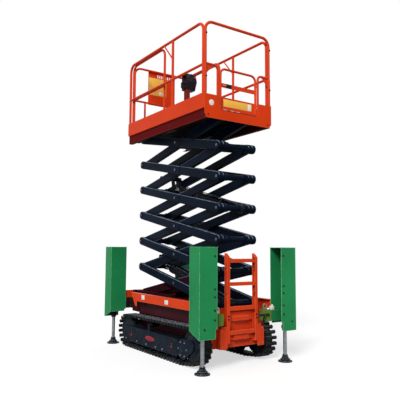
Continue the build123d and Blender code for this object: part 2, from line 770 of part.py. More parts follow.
def rear_crossbeam():
    """Orange plate across the rear, against the roller channels and on the outrigger arms."""
    front = CHANNEL_REAR_X - SEAT
    return block(
        front - REAR_BEAM_SHEET, front,
        -REAR_BEAM_HALF_WIDTH, REAR_BEAM_HALF_WIDTH, REAR_BEAM_BOTTOM, REAR_BEAM_TOP,
    )


save("chassis_tray", chassis_tray())
save("side_beams", both_sides(side_beam()))
save("front_plate", front_plate() + front_bulkhead())
save("ladder", ladder())


# Tracks
def loop_outline(shrink):
    """The hull around the track's wheels, drawn smaller all round by a given distance."""
    rear_x, rear_z, rear_r = TRACK_REAR_WHEEL
    front_x, front_z, front_r = TRACK_FRONT_WHEEL
    circles = [
        Pos(rear_x, rear_z) * Circle(rear_r - shrink),
        Pos(TRACK_GROUND_FRONT_X, TRACK_GROUND_RADIUS) * Circle(TRACK_GROUND_RADIUS - shrink),
        Pos(front_x, front_z) * Circle(front_r - shrink),
    ]
    return Plane.XZ * make_hull([circle.edges()[0] for circle in circles])


def track():
    """Right track: a closed rubber belt with wider shoes, one fixed loop."""
    y1 = TRACK_OUTER_Y
    belt = extrude(loop_outline(LUG_HEIGHT), amount=BELT_WIDTH)
    inside = extrude(loop_outline(LUG_HEIGHT + BELT_THICKNESS), amount=BELT_WIDTH)
    belt = Pos(0, y1 - TRACK_WIDTH + BELT_WIDTH, 0) * (belt - inside)
    path = loop_outline(LUG_HEIGHT).face().outer_wire()
    count = round(path.length / TRACK_SHOE_PITCH)
    lug_profile = make_face(
        Polyline(
            (-TRACK_SHOE_LENGTH / 2, -TRACK_SHOE_ROOT),
            (TRACK_SHOE_LENGTH / 2, -TRACK_SHOE_ROOT),
            (TRACK_SHOE_TIP / 2, LUG_HEIGHT),
            (-TRACK_SHOE_TIP / 2, LUG_HEIGHT),
            close=True,
        )
    )
    lugs = []
    middle = Vector((TRACK_REAR_WHEEL[0] + TRACK_FRONT_WHEEL[0]) / 2, 0, TRACK_REAR_WHEEL[1])
    for index in range(count):
        point = path.position_at(index / count)
        tangent = path.tangent_at(index / count)
        normal = tangent.cross(Vector(0, 1, 0))
        if normal.dot(point - middle) < 0:
            tangent = -tangent
        plane = Plane(origin=(point.X, y1, point.Z), x_dir=tangent, z_dir=(0, -1, 0))
        lugs.append(extrude(plane * lug_profile, amount=TRACK_WIDTH))
    return belt, lugs


TRACK_BELT, TRACK_LUGS = track()
RIGHT_TRACK = TRACK_BELT.fuse(*TRACK_LUGS)
save("track_right", RIGHT_TRACK)
save("track_left", mirrored(RIGHT_TRACK))


def top_run_height(x):
    """Height of the underside of the belt's top run at a place along the track."""
    rear_x, rear_z, rear_r = TRACK_REAR_WHEEL
    front_x, front_z, front_r = TRACK_FRONT_WHEEL
    span = math.hypot(front_x - rear_x, front_z - rear_z)
    lean = math.atan2(front_z - rear_z, front_x - rear_x) + math.asin((front_r - rear_r) / span)
    inside = rear_r - LUG_HEIGHT - BELT_THICKNESS
    return rear_z + inside * math.cos(lean) + (x - rear_x + inside * math.sin(lean)) * math.tan(lean)


def drive_cover():
    """Outline of the plate that carries the front wheel and covers its drive."""
    front_x, front_z, _ = TRACK_FRONT_WHEEL
    circles = [
        Pos(HUB_COVER_X, HUB_COVER_Z) * Circle(HUB_COVER_RADIUS),
        Pos(front_x, front_z) * Circle(WHEEL_HUB_RADIUS),
    ]
    return Plane.XZ * make_hull([circle.edges()[0] for circle in circles])


def track_frame():
    """Right track frame: side box with oval windows, rollers, drive cover and cross arms."""
    y0, y1 = FRAME_INNER_Y, FRAME_OUTER_Y
    frame = plate_xz(
        [
            (FRAME_PANEL_REAR_X, FRAME_PANEL_TOP),
            (FRAME_PANEL_FRONT_X, FRAME_PANEL_TOP),
            (HUB_COVER_X, HUB_COVER_Z),
            (FRAME_PANEL_FRONT_X, FRAME_PANEL_BOTTOM),
            (FRAME_PANEL_REAR_X + FRAME_CORNER, FRAME_PANEL_BOTTOM),
            (FRAME_PANEL_REAR_X, FRAME_PANEL_BOTTOM + FRAME_CORNER),
        ],
        y0, y1,
    )
    for x in ROAD_ROLLER_XS:
        frame += rod_y(x, FRAME_PANEL_BOTTOM, ROAD_ROLLER_RADIUS - SEAT, y0, WHEEL_OUTER_Y)
    carrier_z = top_run_height(CARRIER_X) - CARRIER_RADIUS
    frame += rod_y(CARRIER_X, carrier_z, CARRIER_RADIUS - SEAT, y0, WHEEL_OUTER_Y)
    frame += block(
        CARRIER_X - CARRIER_STAND / 2, CARRIER_X + CARRIER_STAND / 2,
        WHEEL_OUTER_Y, y1, FRAME_PANEL_TOP, carrier_z,
    )
    frame += Pos(0, y1, 0) * extrude(drive_cover(), amount=y1 - WHEEL_OUTER_Y - SEAT)
    for x, z, r in (TRACK_REAR_WHEEL, TRACK_FRONT_WHEEL):
        frame -= rod_y(x, z, r - LUG_HEIGHT - BELT_THICKNESS, y0, WHEEL_OUTER_Y + SEAT)
    window_z = (FRAME_PANEL_TOP + FRAME_PANEL_BOTTOM) / 2
    for x in OVAL_CENTRES:
        slot = Plane.XZ * SlotOverall(OVAL_LENGTH, OVAL_WIDTH, rotation=90)
        frame -= Pos(x, y1, window_z) * extrude(slot, amount=OVAL_DEPTH)
    for x in CROSS_ARM_XS:
        frame += block(
            x - CROSS_ARM_LENGTH / 2, x + CROSS_ARM_LENGTH / 2,
            BELLY_HALF_WIDTH, y0, CROSS_ARM_BOTTOM, FRAME_PANEL_TOP,
        )
    return frame


def track_wheels():
    """Right rear and front wheel inside the belt, as separate solids."""
    inside = LUG_HEIGHT + BELT_THICKNESS + SEAT
    wheels = []
    for x, z, r in (TRACK_REAR_WHEEL, TRACK_FRONT_WHEEL):
        wheels.append(rod_y(x, z, r - inside, FRAME_INNER_Y, WHEEL_OUTER_Y))
    return wheels


RIGHT_FRAME = track_frame()
RIGHT_WHEELS = track_wheels()
save("track_frame_right", RIGHT_FRAME)
save("track_frame_left", mirrored(RIGHT_FRAME))
save("track_wheels_right", RIGHT_WHEELS)
save("track_wheels_left", [mirrored(wheel) for wheel in RIGHT_WHEELS])


# Outriggers
def housing():
    """Front right housing: folded sheet, open towards the middle, with a lid."""
    x0, x1 = HOUSING_INNER_X, HOUSING_OUTER_X
    y0, y1 = HOUSING_INNER_Y, HOUSING_OUTER_Y
    skin = block(x0, x1, y0, y1, HOUSING_BOTTOM, HOUSING_TOP)
    skin -= block(x0 + HOUSING_SHEET, x1 - HOUSING_SHEET, y0, y1 - HOUSING_SHEET, HOUSING_BOTTOM, HOUSING_TOP)
    skin -= plate_xz(
        [
            (x0, HOUSING_BOTTOM),
            (x1 - HOUSING_SHEET, HOUSING_BOTTOM),
            (x0, HOUSING_SIDE_BOTTOM),
        ],
        y0, y1,
    )
    skin -= block(x0, x1, y0, y0 + HOUSING_NOTCH_Y, HOUSING_BOTTOM, HOUSING_NOTCH_Z)
    lip = HOUSING_LID_LIP
    skin += block(x0, x1, y0 - lip, y1, HOUSING_TOP - HOUSING_SHEET, HOUSING_TOP)
    return skin


def leg_tube():
    """Front right leg cylinder, bored for its rod, with a gland collar."""
    tube = rod_z(LEG_X, LEG_Y, LEG_TUBE_RADIUS, LEG_TUBE_BOTTOM, LEG_TUBE_TOP)
    tube += rod_z(LEG_X, LEG_Y, LEG_COLLAR_RADIUS, LEG_TUBE_BOTTOM, LEG_TUBE_BOTTOM + LEG_COLLAR_HEIGHT)
    tube += rod_z(LEG_X, LEG_Y, LEG_GLAND_RADIUS, LEG_GLAND_BOTTOM, LEG_TUBE_BOTTOM)
    bore_top = LEG_ROD_TOP + LEG_LIFT + HOUSING_SHEET
    tube -= rod_z(LEG_X, LEG_Y, LEG_ROD_RADIUS + LEG_ROD_FIT, LEG_GLAND_BOTTOM, bore_top)
    return tube


def leg_rod():
    """Front right leg rod."""
    return rod_z(LEG_X, LEG_Y, LEG_ROD_RADIUS, FOOT_BOOT_STEPS[-1][1], LEG_ROD_TOP)


def foot():
    """Front right foot: a disc with a stepped boot that holds the rod."""
    shape = rod_z(LEG_X, LEG_Y, FOOT_RADIUS, 0, FOOT_THICKNESS)
    for radius, top in FOOT_BOOT_STEPS:
        shape += rod_z(LEG_X, LEG_Y, radius, FOOT_THICKNESS, top)
    return shape


def front_bracket():
    """Front right arm from the end plate to the leg cylinder."""
    x0 = PLATE_X + PLATE_THICKNESS
    x1 = HOUSING_INNER_X + HOUSING_SHEET + SEAT
    arm = block(x0, LEG_X, BRACKET_INNER_Y, PLATE_HALF_WIDTH, BRACKET_BOTTOM, BRACKET_TOP)
    arm += block(x1, LEG_X, PLATE_HALF_WIDTH, LEG_Y, BRACKET_BOTTOM, BRACKET_TOP)
    arm -= rod_z(LEG_X, LEG_Y, LEG_TUBE_RADIUS + SEAT, BRACKET_BOTTOM, BRACKET_TOP)
    return arm


def lashing_eye():
    """Front right lashing eye, a ring plate standing on the outrigger arm."""
    outer = EYE_HOLE_RADIUS + EYE_RING
    centre_z = BRACKET_TOP + EYE_RISE
    x0, x1 = EYE_X_FRONT - EYE_THICKNESS, EYE_X_FRONT
    eye = Pos((x0 + x1) / 2, EYE_Y_SIDE, centre_z) * Rot(0, 90, 0) * Cylinder(outer, EYE_THICKNESS)
    eye += block(x0, x1, EYE_Y_SIDE - outer, EYE_Y_SIDE + outer, BRACKET_TOP, centre_z)
    bore = Rot(0, 90, 0) * Cylinder(EYE_HOLE_RADIUS, EYE_THICKNESS)
    return eye - Pos((x0 + x1) / 2, EYE_Y_SIDE, centre_z) * bore


def rear_bracket():
    """Rear right arm from the tray to the leg cylinder, up to the rear plate."""
    x1 = -(HOUSING_INNER_X + HOUSING_SHEET + SEAT)
    top = REAR_BEAM_BOTTOM
    arm = block(-LEG_X, TRAY_REAR_X, BRACKET_INNER_Y, PLATE_HALF_WIDTH, BRACKET_BOTTOM, top)
    arm += block(-LEG_X, x1, PLATE_HALF_WIDTH, LEG_Y, BRACKET_BOTTOM, top)
    arm -= rod_z(-LEG_X, LEG_Y, LEG_TUBE_RADIUS + SEAT, BRACKET_BOTTOM, top)
    return arm


for place, shape in four_corners(housing()).items():
    save(f"outrigger_housing_{place}", shape)
save("leg_cylinders", list(four_corners(leg_tube()).values()))
save("outrigger_brackets", both_sides(front_bracket()) + both_sides(rear_bracket()))
save("lashing_eyes", both_sides(lashing_eye()))
for place, shape in four_corners(leg_rod()).items():
    save(f"leg_rod_{place}", shape)
for place, shape in four_corners(foot()).items():
    save(f"foot_{place}", shape)
save("rear_crossbeam", rear_crossbeam())


# Platform
def platform_floor():
    """Floor plate with side beams and toe boards folded in one."""
    x0, x1 = PLATFORM_REAR_X, PLATFORM_FRONT_X - SHEET
    half = PLATFORM_HALF_WIDTH
    floor = block(x0, x1, -half, half, FLOOR_TOP - FLOOR_THICKNESS, FLOOR_TOP)
    return floor


def platform_skirt_right():
    """Right toe board, outside the floor's edge, with its lower lip."""
    x0, x1 = PLATFORM_REAR_X, PLATFORM_FRONT_X - SHEET
    y1 = PLATFORM_HALF_WIDTH
    under = FLOOR_TOP - FLOOR_THICKNESS
    web = y1 - SIDE_BEAM_INSET
    toe = block(x0, x1, y1 - THIN_SHEET, y1, FLOOR_TOP, TOE_TOP)
    apron = block(x0, x1, y1 - THIN_SHEET, y1, TOE_LIP_Z, under)
    lip = block(x0, x1, web - SHEET, y1, TOE_LIP_Z, TOE_LIP_Z + THIN_SHEET)
    beam = block(x0, x1, web - SHEET, web, SKIRT_BOTTOM, under)
    flange = block(x0, x1, web - SIDE_BEAM_FLANGE, web, SKIRT_BOTTOM, SKIRT_BOTTOM + SHEET)
    return toe, apron + lip + beam + flange


def front_end_panel():
    """Front end panel with chamfered lower corners and the gate's notch."""
    half = PLATFORM_HALF_WIDTH
    gate = GATE_POST_Y - QUARTER_RADIUS
    return plate_yz(
        [
            (-half, END_TOE_TOP),
            (-gate, END_TOE_TOP),
            (-gate, FLOOR_TOP),
            (gate, FLOOR_TOP),
            (gate, END_TOE_TOP),
            (half, END_TOE_TOP),
            (half, SKIRT_BOTTOM + END_CHAMFER),
            (half - END_CHAMFER, SKIRT_BOTTOM),
            (-half + END_CHAMFER, SKIRT_BOTTOM),
            (-half, SKIRT_BOTTOM + END_CHAMFER),
        ],
        PLATFORM_FRONT_X - SHEET, PLATFORM_FRONT_X,
    )


def platform_deck():
    """Floor, toe boards, side beams and front panel, one welding."""
    deck = platform_floor()
    toe, beam = platform_skirt_right()
    for piece in (toe, beam, mirrored(toe), mirrored(beam)):
        deck += piece
    return deck + front_end_panel()


def platform_underframe():
    """Right roller channel, pivot lug and ribs under the floor."""
    under = FLOOR_TOP - FLOOR_THICKNESS
    rear = max(CHANNEL_REAR_X, PLATFORM_REAR_X - CHANNEL_END_ROOM)
    frame = roller_channel(TOP_PIN_Z, rear, CHANNEL_FRONT_X)
    frame += block(
        PLATFORM_REAR_X, FRONT_PIN_X, CHANNEL_INNER_Y, CHANNEL_OUTER_Y,
        TOP_PIN_Z + CHANNEL_HALF, under,
    )
    web = PLATFORM_HALF_WIDTH - SIDE_BEAM_INSET - SHEET
    for x in FLOOR_RIB_XS:
        frame += block(
            x - FLOOR_RIB_WIDTH / 2, x + FLOOR_RIB_WIDTH / 2, CHANNEL_OUTER_Y, web,
            under - FLOOR_RIB_DEPTH, under,
        )
    y0 = INNER_ARM_FACE + MOVING_GAP
    lug = rod_y(FRONT_PIN_X, TOP_PIN_Z, PIVOT_LUG_RADIUS, y0, y0 + PIVOT_LUG_THICKNESS)
    lug += block(
        FRONT_PIN_X - PIVOT_LUG_RADIUS, FRONT_PIN_X + PIVOT_LUG_RADIUS,
        y0, y0 + PIVOT_LUG_THICKNESS, TOP_PIN_Z, under,
    )
    lug += block(
        FRONT_PIN_X - PIVOT_LUG_RADIUS, FRONT_PIN_X + PIVOT_LUG_RADIUS,
        y0, CHANNEL_OUTER_Y, TOP_PIN_Z + CHANNEL_HALF, under,
    )
    lug -= rod_y(FRONT_PIN_X, TOP_PIN_Z, ARM_PIN_RADIUS + PIN_FIT, y0, CHANNEL_OUTER_Y)
    return frame + lug


def side_rail():
    """Right guard rail: a bent hoop with mid rail, mid post and brace."""
    y = PLATFORM_HALF_WIDTH - THIN_SHEET - RAIL_RADIUS - SEAT
    hoop = tube_run(
        [
            (RAIL_FRONT_X, y, FLOOR_TOP),
            (RAIL_FRONT_X, y, RAIL_TOP_Z),
            (RAIL_REAR_X, y, RAIL_TOP_Z),
            (RAIL_REAR_X, y, FLOOR_TOP),
        ],
        RAIL_RADIUS, RAIL_BEND,
    )
    hoop += tube_run([(RAIL_FRONT_X, y, RAIL_MID_Z), (RAIL_REAR_X, y, RAIL_MID_Z)], RAIL_MID_RADIUS, 0)
    hoop += rod_z(RAIL_MID_POST_X, y, RAIL_POST_RADIUS, FLOOR_TOP, RAIL_TOP_Z)
    hoop += tube_run(
        [(RAIL_BRACE_X, y, RAIL_TOP_Z), (RAIL_MID_POST_X, y, RAIL_BRACE_Z)], RAIL_BRACE_RADIUS, 0
    )
    return hoop


def front_rail():
    """Front hoop with the quarter hoops and gate posts below it."""
    y = PLATFORM_HALF_WIDTH - THIN_SHEET - RAIL_RADIUS - SEAT
    x = FRONT_HOOP_X
    hoop = tube_run(
        [(x, -y, FLOOR_TOP), (x, -y, RAIL_TOP_Z), (x, y, RAIL_TOP_Z), (x, y, FLOOR_TOP)],
        RAIL_RADIUS, RAIL_BEND,
    )
    for side in (-1, 1):
        hoop += tube_run(
            [
                (x, side * y, RAIL_MID_Z),
                (x, side * GATE_POST_Y, RAIL_MID_Z),
                (x, side * GATE_POST_Y, FLOOR_TOP),
            ],
            QUARTER_RADIUS, QUARTER_BEND,
        )
        hoop += rod_z(x, side * y, SOCKET_RADIUS, SOCKET_BOTTOM, SOCKET_TOP)
        gusset = plate_yz(
            [
                (y - RAIL_RADIUS / 2, RAIL_MID_Z - QUARTER_RADIUS / 2),
                (y - RAIL_RADIUS / 2, RAIL_MID_Z - QUARTER_RADIUS - HOOP_GUSSET),
                (y - RAIL_RADIUS - HOOP_GUSSET, RAIL_MID_Z - QUARTER_RADIUS / 2),
            ],
            x - THIN_SHEET, x + THIN_SHEET,
        )
        hoop += gusset if side > 0 else mirrored(gusset)
    hinge_x = x - GATE_HINGE_BACK
    for z in GATE_HINGE_ZS:
        low = z - GATE_SLEEVE_HEIGHT / 2 - SLIDE_SEAT - GATE_EAR
        high = z + GATE_SLEEVE_HEIGHT / 2 + SLIDE_SEAT
        for bottom in (low, high):
            ear = block(
                hinge_x - GATE_SLEEVE_RADIUS, x, GATE_HINGE_Y - GATE_HINGE_LAP, GATE_POST_Y,
                bottom, bottom + GATE_EAR,
            )
            ear += rod_z(hinge_x, GATE_HINGE_Y, GATE_SLEEVE_RADIUS, bottom, bottom + GATE_EAR)
            hoop += ear
        hoop += rod_z(hinge_x, GATE_HINGE_Y, GATE_PIN_RADIUS, low, high + GATE_EAR)
    return hoop


def gate_sheets():
    """The gate's lower sheet and its flat bar, between the hoop's legs."""
    x = FRONT_HOOP_X
    reach = GATE_HALF_WIDTH - GATE_TUBE_RADIUS - SEAT
    floor = FLOOR_TOP + MOVING_GAP
    sheet = block(x - THIN_SHEET, x + THIN_SHEET, -reach, reach, floor, GATE_SHEET_TOP)
    bar = block(
        x - THIN_SHEET, x + THIN_SHEET, -reach, reach,
        GATE_BAR_Z - GATE_BAR_HEIGHT / 2, GATE_BAR_Z + GATE_BAR_HEIGHT / 2,
    )
    return [sheet, bar]


def gate():
    """Swing gate's bent tube hoop with its hinge sleeves."""
    x = FRONT_HOOP_X
    y = GATE_HALF_WIDTH
    floor = FLOOR_TOP + MOVING_GAP
    leaf = tube_run(
        [(x, -y, floor), (x, -y, GATE_TOP_Z), (x, y, GATE_TOP_Z), (x, y, floor)],
        GATE_TUBE_RADIUS, GATE_BEND,
    )
    hinge_x = x - GATE_HINGE_BACK
    for z in GATE_HINGE_ZS:
        low, high = z - GATE_SLEEVE_HEIGHT / 2, z + GATE_SLEEVE_HEIGHT / 2
        sleeve = rod_z(hinge_x, GATE_HINGE_Y, GATE_SLEEVE_RADIUS, low, high)
        sleeve += block(hinge_x, x, y - GATE_HINGE_LAP, GATE_HINGE_Y, low, high)
        sleeve -= rod_z(hinge_x, GATE_HINGE_Y, GATE_PIN_RADIUS + PIN_FIT, low, high)
        leaf += sleeve
    return leaf


UNDERFRAME = platform_underframe()
save("platform_deck", platform_deck())
save("platform_underframe", both_sides(UNDERFRAME))
save("guardrail_right", side_rail())
save("guardrail_left", mirrored(side_rail()))
save("guardrail_front", front_rail())
save("gate", gate())
save("gate_sheets", gate_sheets())


# Extension deck
EXT_BOTTOM = FLOOR_TOP + SLIDE_SEAT
EXT_TOP = EXT_BOTTOM + EXT_THICKNESS


def extension_deck():
    """Roll-out deck: a shallow folded tray that lies on the main floor, with its toe board."""
    half = EXT_HALF_WIDTH
    deck = block(EXT_REAR_X, EXT_FRONT_X, -half, half, EXT_BOTTOM, EXT_TOP)
    deck -= block(
        EXT_REAR_X + EXT_SHEET, EXT_FRONT_X - EXT_SHEET, -half + RAIL_RADIUS * 2, half - RAIL_RADIUS * 2,
        EXT_BOTTOM, EXT_TOP - EXT_SHEET,
    )
    deck += block(EXT_REAR_X, EXT_REAR_X + EXT_SHEET, -half, half, EXT_TOP, EXT_TOE_TOP)
    return deck


def extension_rails():
    """Nested rails of the roll-out deck with the rear hoop."""
    y = EXT_RAIL_Y
    r = EXT_RAIL_RADIUS
    x = EXT_HOOP_X
    top = EXT_RAIL_TOP_Z - EXT_HOOP_DROP
    tubes = [
        tube_run([(x, -y, EXT_TOP), (x, -y, top), (x, y, top), (x, y, EXT_TOP)], r, RAIL_BEND),
        tube_run([(x, -y, RAIL_MID_Z), (x, y, RAIL_MID_Z)], MID_RAIL_RADIUS, 0),
    ]
    for side in (-1, 1):
        tubes.append(
            tube_run(
                [
                    (EXT_RAIL_REAR_X, side * y, EXT_TOP),
                    (EXT_RAIL_REAR_X, side * y, EXT_RAIL_TOP_Z),
                    (EXT_RAIL_FRONT_X, side * y, EXT_RAIL_TOP_Z),
                    (EXT_RAIL_FRONT_X, side * y, EXT_TOP),
                ],
                r, RAIL_BEND,
            )
        )
        tubes.append(
            tube_run(
                [(EXT_RAIL_REAR_X, side * y, RAIL_MID_Z), (EXT_RAIL_FRONT_X, side * y, RAIL_MID_Z)],
                MID_RAIL_RADIUS, 0,
            )
        )
        tubes.append(rod_z(x, side * EXT_QUARTER_Y, MID_RAIL_RADIUS, EXT_TOP, RAIL_MID_Z))
    return joined(tubes)


def rear_panel():
    """Sheet between the rear hoop's top and mid rails, with a row of louvre slots."""
    x = EXT_HOOP_X - EXT_RAIL_RADIUS - SEAT
    top = EXT_RAIL_TOP_Z - EXT_HOOP_DROP
    panel = block(x - THIN_SHEET, x, PANEL_LEFT_Y, PANEL_RIGHT_Y, PANEL_BOTTOM, top)
    pitch = (LOUVRE_RIGHT_Y - LOUVRE_LEFT_Y) / (LOUVRE_COUNT - 1)
    slot = Plane.YZ * SlotOverall(LOUVRE_HEIGHT, LOUVRE_WIDTH, rotation=90)
    for index in range(LOUVRE_COUNT):
        y = LOUVRE_LEFT_Y + index * pitch
        panel -= Pos(x - THIN_SHEET, y, top - LOUVRE_BELOW_TOP) * extrude(slot, amount=THIN_SHEET)
    return panel


def control_post():
    """Post that carries the control box on the roll-out deck."""
    post = block(
        CONTROL_X - CONTROL_POST / 2, CONTROL_X + CONTROL_POST / 2,
        CONTROL_Y - CONTROL_POST / 2, CONTROL_Y + CONTROL_POST / 2, EXT_TOP, CONTROL_BOTTOM,
    )
    post += block(
        CONTROL_X - CONTROL_FOOT / 2, CONTROL_X + CONTROL_FOOT / 2,
        CONTROL_Y - CONTROL_FOOT / 2, CONTROL_Y + CONTROL_FOOT / 2, EXT_TOP, EXT_TOP + SHEET,
    )
    return post


def control_box():
    """Control box with a sloping face, a hood over its side and a carrying handle."""
    x0, x1 = CONTROL_X - CONTROL_DEPTH / 2, CONTROL_X + CONTROL_DEPTH / 2
    top = CONTROL_BOTTOM + CONTROL_HEIGHT
    side = CONTROL_BOX_Y - CONTROL_WIDTH / 2
    hood = plate_yz(
        [
            (side, top),
            (side, top - HOOD_SHEET),
            (side - HOOD_REACH, top - HOOD_DROP - HOOD_SHEET),
            (side - HOOD_REACH, top - HOOD_DROP),
        ],
        x0, x1 - CONTROL_BROW,
    )
    grip_y = side - HANDLE_GAP
    low, high = CONTROL_BOTTOM + HANDLE_LOW, CONTROL_BOTTOM + HANDLE_HIGH
    grip_x0, grip_x1 = CONTROL_X - HANDLE_WIDTH / 2, CONTROL_X + HANDLE_WIDTH / 2
    handle = block(grip_x0, grip_x1, grip_y - HANDLE_WIDTH, side, low, high)
    handle -= block(grip_x0, grip_x1, grip_y, side, low + HANDLE_LOW, high - HANDLE_LOW)
    body = plate_xz(
        [
            (x0, CONTROL_BOTTOM),
            (x1 - CONTROL_UNDERCUT, CONTROL_BOTTOM),
            (x1, CONTROL_BOTTOM + CONTROL_HEIGHT / 2),
            (x1 - CONTROL_BROW, top),
            (x0, top),
        ],
        side, side + CONTROL_WIDTH,
    )
    return body + hood + handle


save("extension_deck", extension_deck())
save("extension_rails", extension_rails())
save("rear_panel", rear_panel())
save("control_post", control_post())
save("control_box", control_box())
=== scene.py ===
import json
import math
import bmesh
import bpy
from mathutils import Matrix, Vector


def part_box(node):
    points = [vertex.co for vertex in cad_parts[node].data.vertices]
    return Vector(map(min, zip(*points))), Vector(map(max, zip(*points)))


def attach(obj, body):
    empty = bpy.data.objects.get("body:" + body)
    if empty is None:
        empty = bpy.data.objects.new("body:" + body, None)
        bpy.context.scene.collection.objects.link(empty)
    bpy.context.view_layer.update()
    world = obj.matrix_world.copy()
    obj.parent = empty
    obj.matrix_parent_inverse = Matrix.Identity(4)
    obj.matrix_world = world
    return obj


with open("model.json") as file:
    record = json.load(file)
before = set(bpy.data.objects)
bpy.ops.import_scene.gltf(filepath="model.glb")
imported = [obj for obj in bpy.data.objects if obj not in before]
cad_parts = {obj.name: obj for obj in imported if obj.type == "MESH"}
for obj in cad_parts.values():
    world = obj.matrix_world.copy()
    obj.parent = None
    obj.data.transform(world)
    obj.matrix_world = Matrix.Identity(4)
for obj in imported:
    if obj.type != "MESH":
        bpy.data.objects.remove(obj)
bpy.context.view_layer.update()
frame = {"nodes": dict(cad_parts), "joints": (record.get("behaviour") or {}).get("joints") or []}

# Tracked scissor lift in metres, +X towards the ladder, left side at -Y, ground at zero
HANDS = {"right": 1, "left": -1}
ENDS = {"front": 1, "rear": -1}
CORNERS = {f"{end}_{hand}": (ENDS[end], HANDS[hand]) for end in ENDS for hand in HANDS}
STAGES = range(1, 7)
JOINTS = {joint["name"]: joint for joint in frame["joints"]}
FORWARD = Vector((1, 0, 0))
LEFT_TO_RIGHT = Vector((0, 1, 0))
UP = Vector((0, 0, 1))
# Further out than any part of the machine
BEYOND = 2.0
# Points nearer than this are one point
SEAM = 0.00001
SHARP_ANGLE = math.radians(35)


# Places read from the frame
def far_corner(node):
    """A node's highest X, Y and Z at rest."""
    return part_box(node)[1]


def foot_height(node):
    """The height on which a node stands at rest."""
    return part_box(node)[0].z


def middle(node):
    """The middle of a node's box at rest."""
    return sum(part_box(node), Vector()) / 2


# Building blocks of a material
def linear(code):
    """Turn an sRGB hex colour into linear values."""
    parts = [int(code[i:i + 2], 16) / 255 for i in (1, 3, 5)]
    return tuple(c / 12.92 if c <= 0.04045 else ((c + 0.055) / 1.055) ** 2.4 for c in parts) + (1.0,)


def add(tree, kind, links=None, output=0, **settings):
    """Add one node, with its settings and with values or links for its inputs, and give one output or all."""
    node = tree.nodes.new(kind)
    for name, value in settings.items():
        setattr(node, name, value)
    for socket, value in (links or {}).items():
        if isinstance(value, bpy.types.NodeSocket):
            tree.links.new(value, node.inputs[socket])
        else:
            node.inputs[socket].default_value = value
    return node.outputs if output is None else node.outputs[output]


def new_surface(name):
    """An empty material with its tree and the piece's own coordinates."""
    material = bpy.data.materials.new(name)
    material.use_nodes = True
    tree = material.node_tree
    tree.nodes.clear()
    return material, tree, add(tree, "ShaderNodeTexCoord", output="Object")


def clouds(tree, place, size_mm, low, high, detail=3.0, most=1.0):
    """Cloudy patches of a size in millimetres, from nought up to a value or to another pattern."""
    cloud = add(tree, "ShaderNodeTexNoise", {"Vector": place, "Scale": 1000 / size_mm, "Detail": detail})
    return add(tree, "ShaderNodeMapRange", {
        "Value": cloud, "From Min": low, "From Max": high, "To Max": most,
    })


def layered(tree, colour, *coats):
    """Lay colours one over another, each as far as its amount says."""
    for amount, paint in coats:
        colour = add(tree, "ShaderNodeMix", {0: amount, 6: colour, 7: linear(paint)}, 2, data_type="RGBA")
    return colour


def worn_and_highlit_rims(tree, radius, most, low=0.03, high=0.30):
    """Where a sharp edge lies within the radius, from nought up to a value."""
    rounded = add(tree, "ShaderNodeBevel", {"Radius": radius}, samples=6)
    flat = add(tree, "ShaderNodeNewGeometry", output="Normal")
    same = add(tree, "ShaderNodeVectorMath", {0: rounded, 1: flat}, "Value", operation="DOT_PRODUCT")
    turned_away = add(tree, "ShaderNodeMath", {0: 1.0, 1: same}, operation="SUBTRACT")
    return add(tree, "ShaderNodeMapRange", {
        "Value": turned_away, "From Min": low, "From Max": high, "To Max": most,
    })


def painted_upper_edge_highlight(tree, most):
    """The rounded upper edges of a box arm, where its surface turns from the side to the top: a painted
    highlight where they catch the light from above.
    """
    own = add(tree, "ShaderNodeTexCoord", output="Normal")
    lean = add(tree, "ShaderNodeSeparateXYZ", {0: own}, None)
    sideways = add(tree, "ShaderNodeMath", {0: lean["Y"]}, operation="ABSOLUTE")
    # Off the top face, off the side face, and looking up
    for value, start, full in ((sideways, 0.10, 0.30), (sideways, 0.99, 0.93), (lean["Z"], 0.05, 0.25)):
        most = add(tree, "ShaderNodeMapRange", {
            "Value": value, "From Min": start, "From Max": full, "To Max": most,
        })
    return most


def within(tree, place, half_width, below, back=-BEYOND, front=BEYOND):
    """One inside a part of the machine: near its middle, under a height and between two X."""
    at = add(tree, "ShaderNodeSeparateXYZ", {0: place}, None)
    side = add(tree, "ShaderNodeMath", {0: at["Y"]}, operation="ABSOLUTE")
    inside = 1.0
    for value, limit, operation in (
        (side, half_width, "LESS_THAN"), (at["Z"], below, "LESS_THAN"),
        (at["X"], back, "GREATER_THAN"), (at["X"], front, "LESS_THAN"),
    ):
        passed = add(tree, "ShaderNodeMath", {0: value, 1: limit}, operation=operation)
        inside = add(tree, "ShaderNodeMath", {0: inside, 1: passed}, operation="MULTIPLY")
    return inside


def shaded(tree, sockets, relief, strength, depth_mm):
    """End a material in its shader, over a relief of a depth in millimetres."""
    bump = add(tree, "ShaderNodeBump", {"Height": relief, "Strength": strength, "Distance": depth_mm / 1000})
    shader = add(tree, "ShaderNodeBsdfPrincipled", {**sockets, "Normal": bump})
    add(tree, "ShaderNodeOutputMaterial", {0: shader}, None)


# Kinds of finish, with the sizes of their patterns in millimetres
PAINT_DRIFT_MM = 555.6
DUST_CLOUD_MM = 62.5
RIM_WEAR_AND_HIGHLIGHT_PATCH_MM = 45.45
ORANGE_PEEL_MM = 4.167
DUST = "#8C9094"
DUSTIEST_Z = 0.1


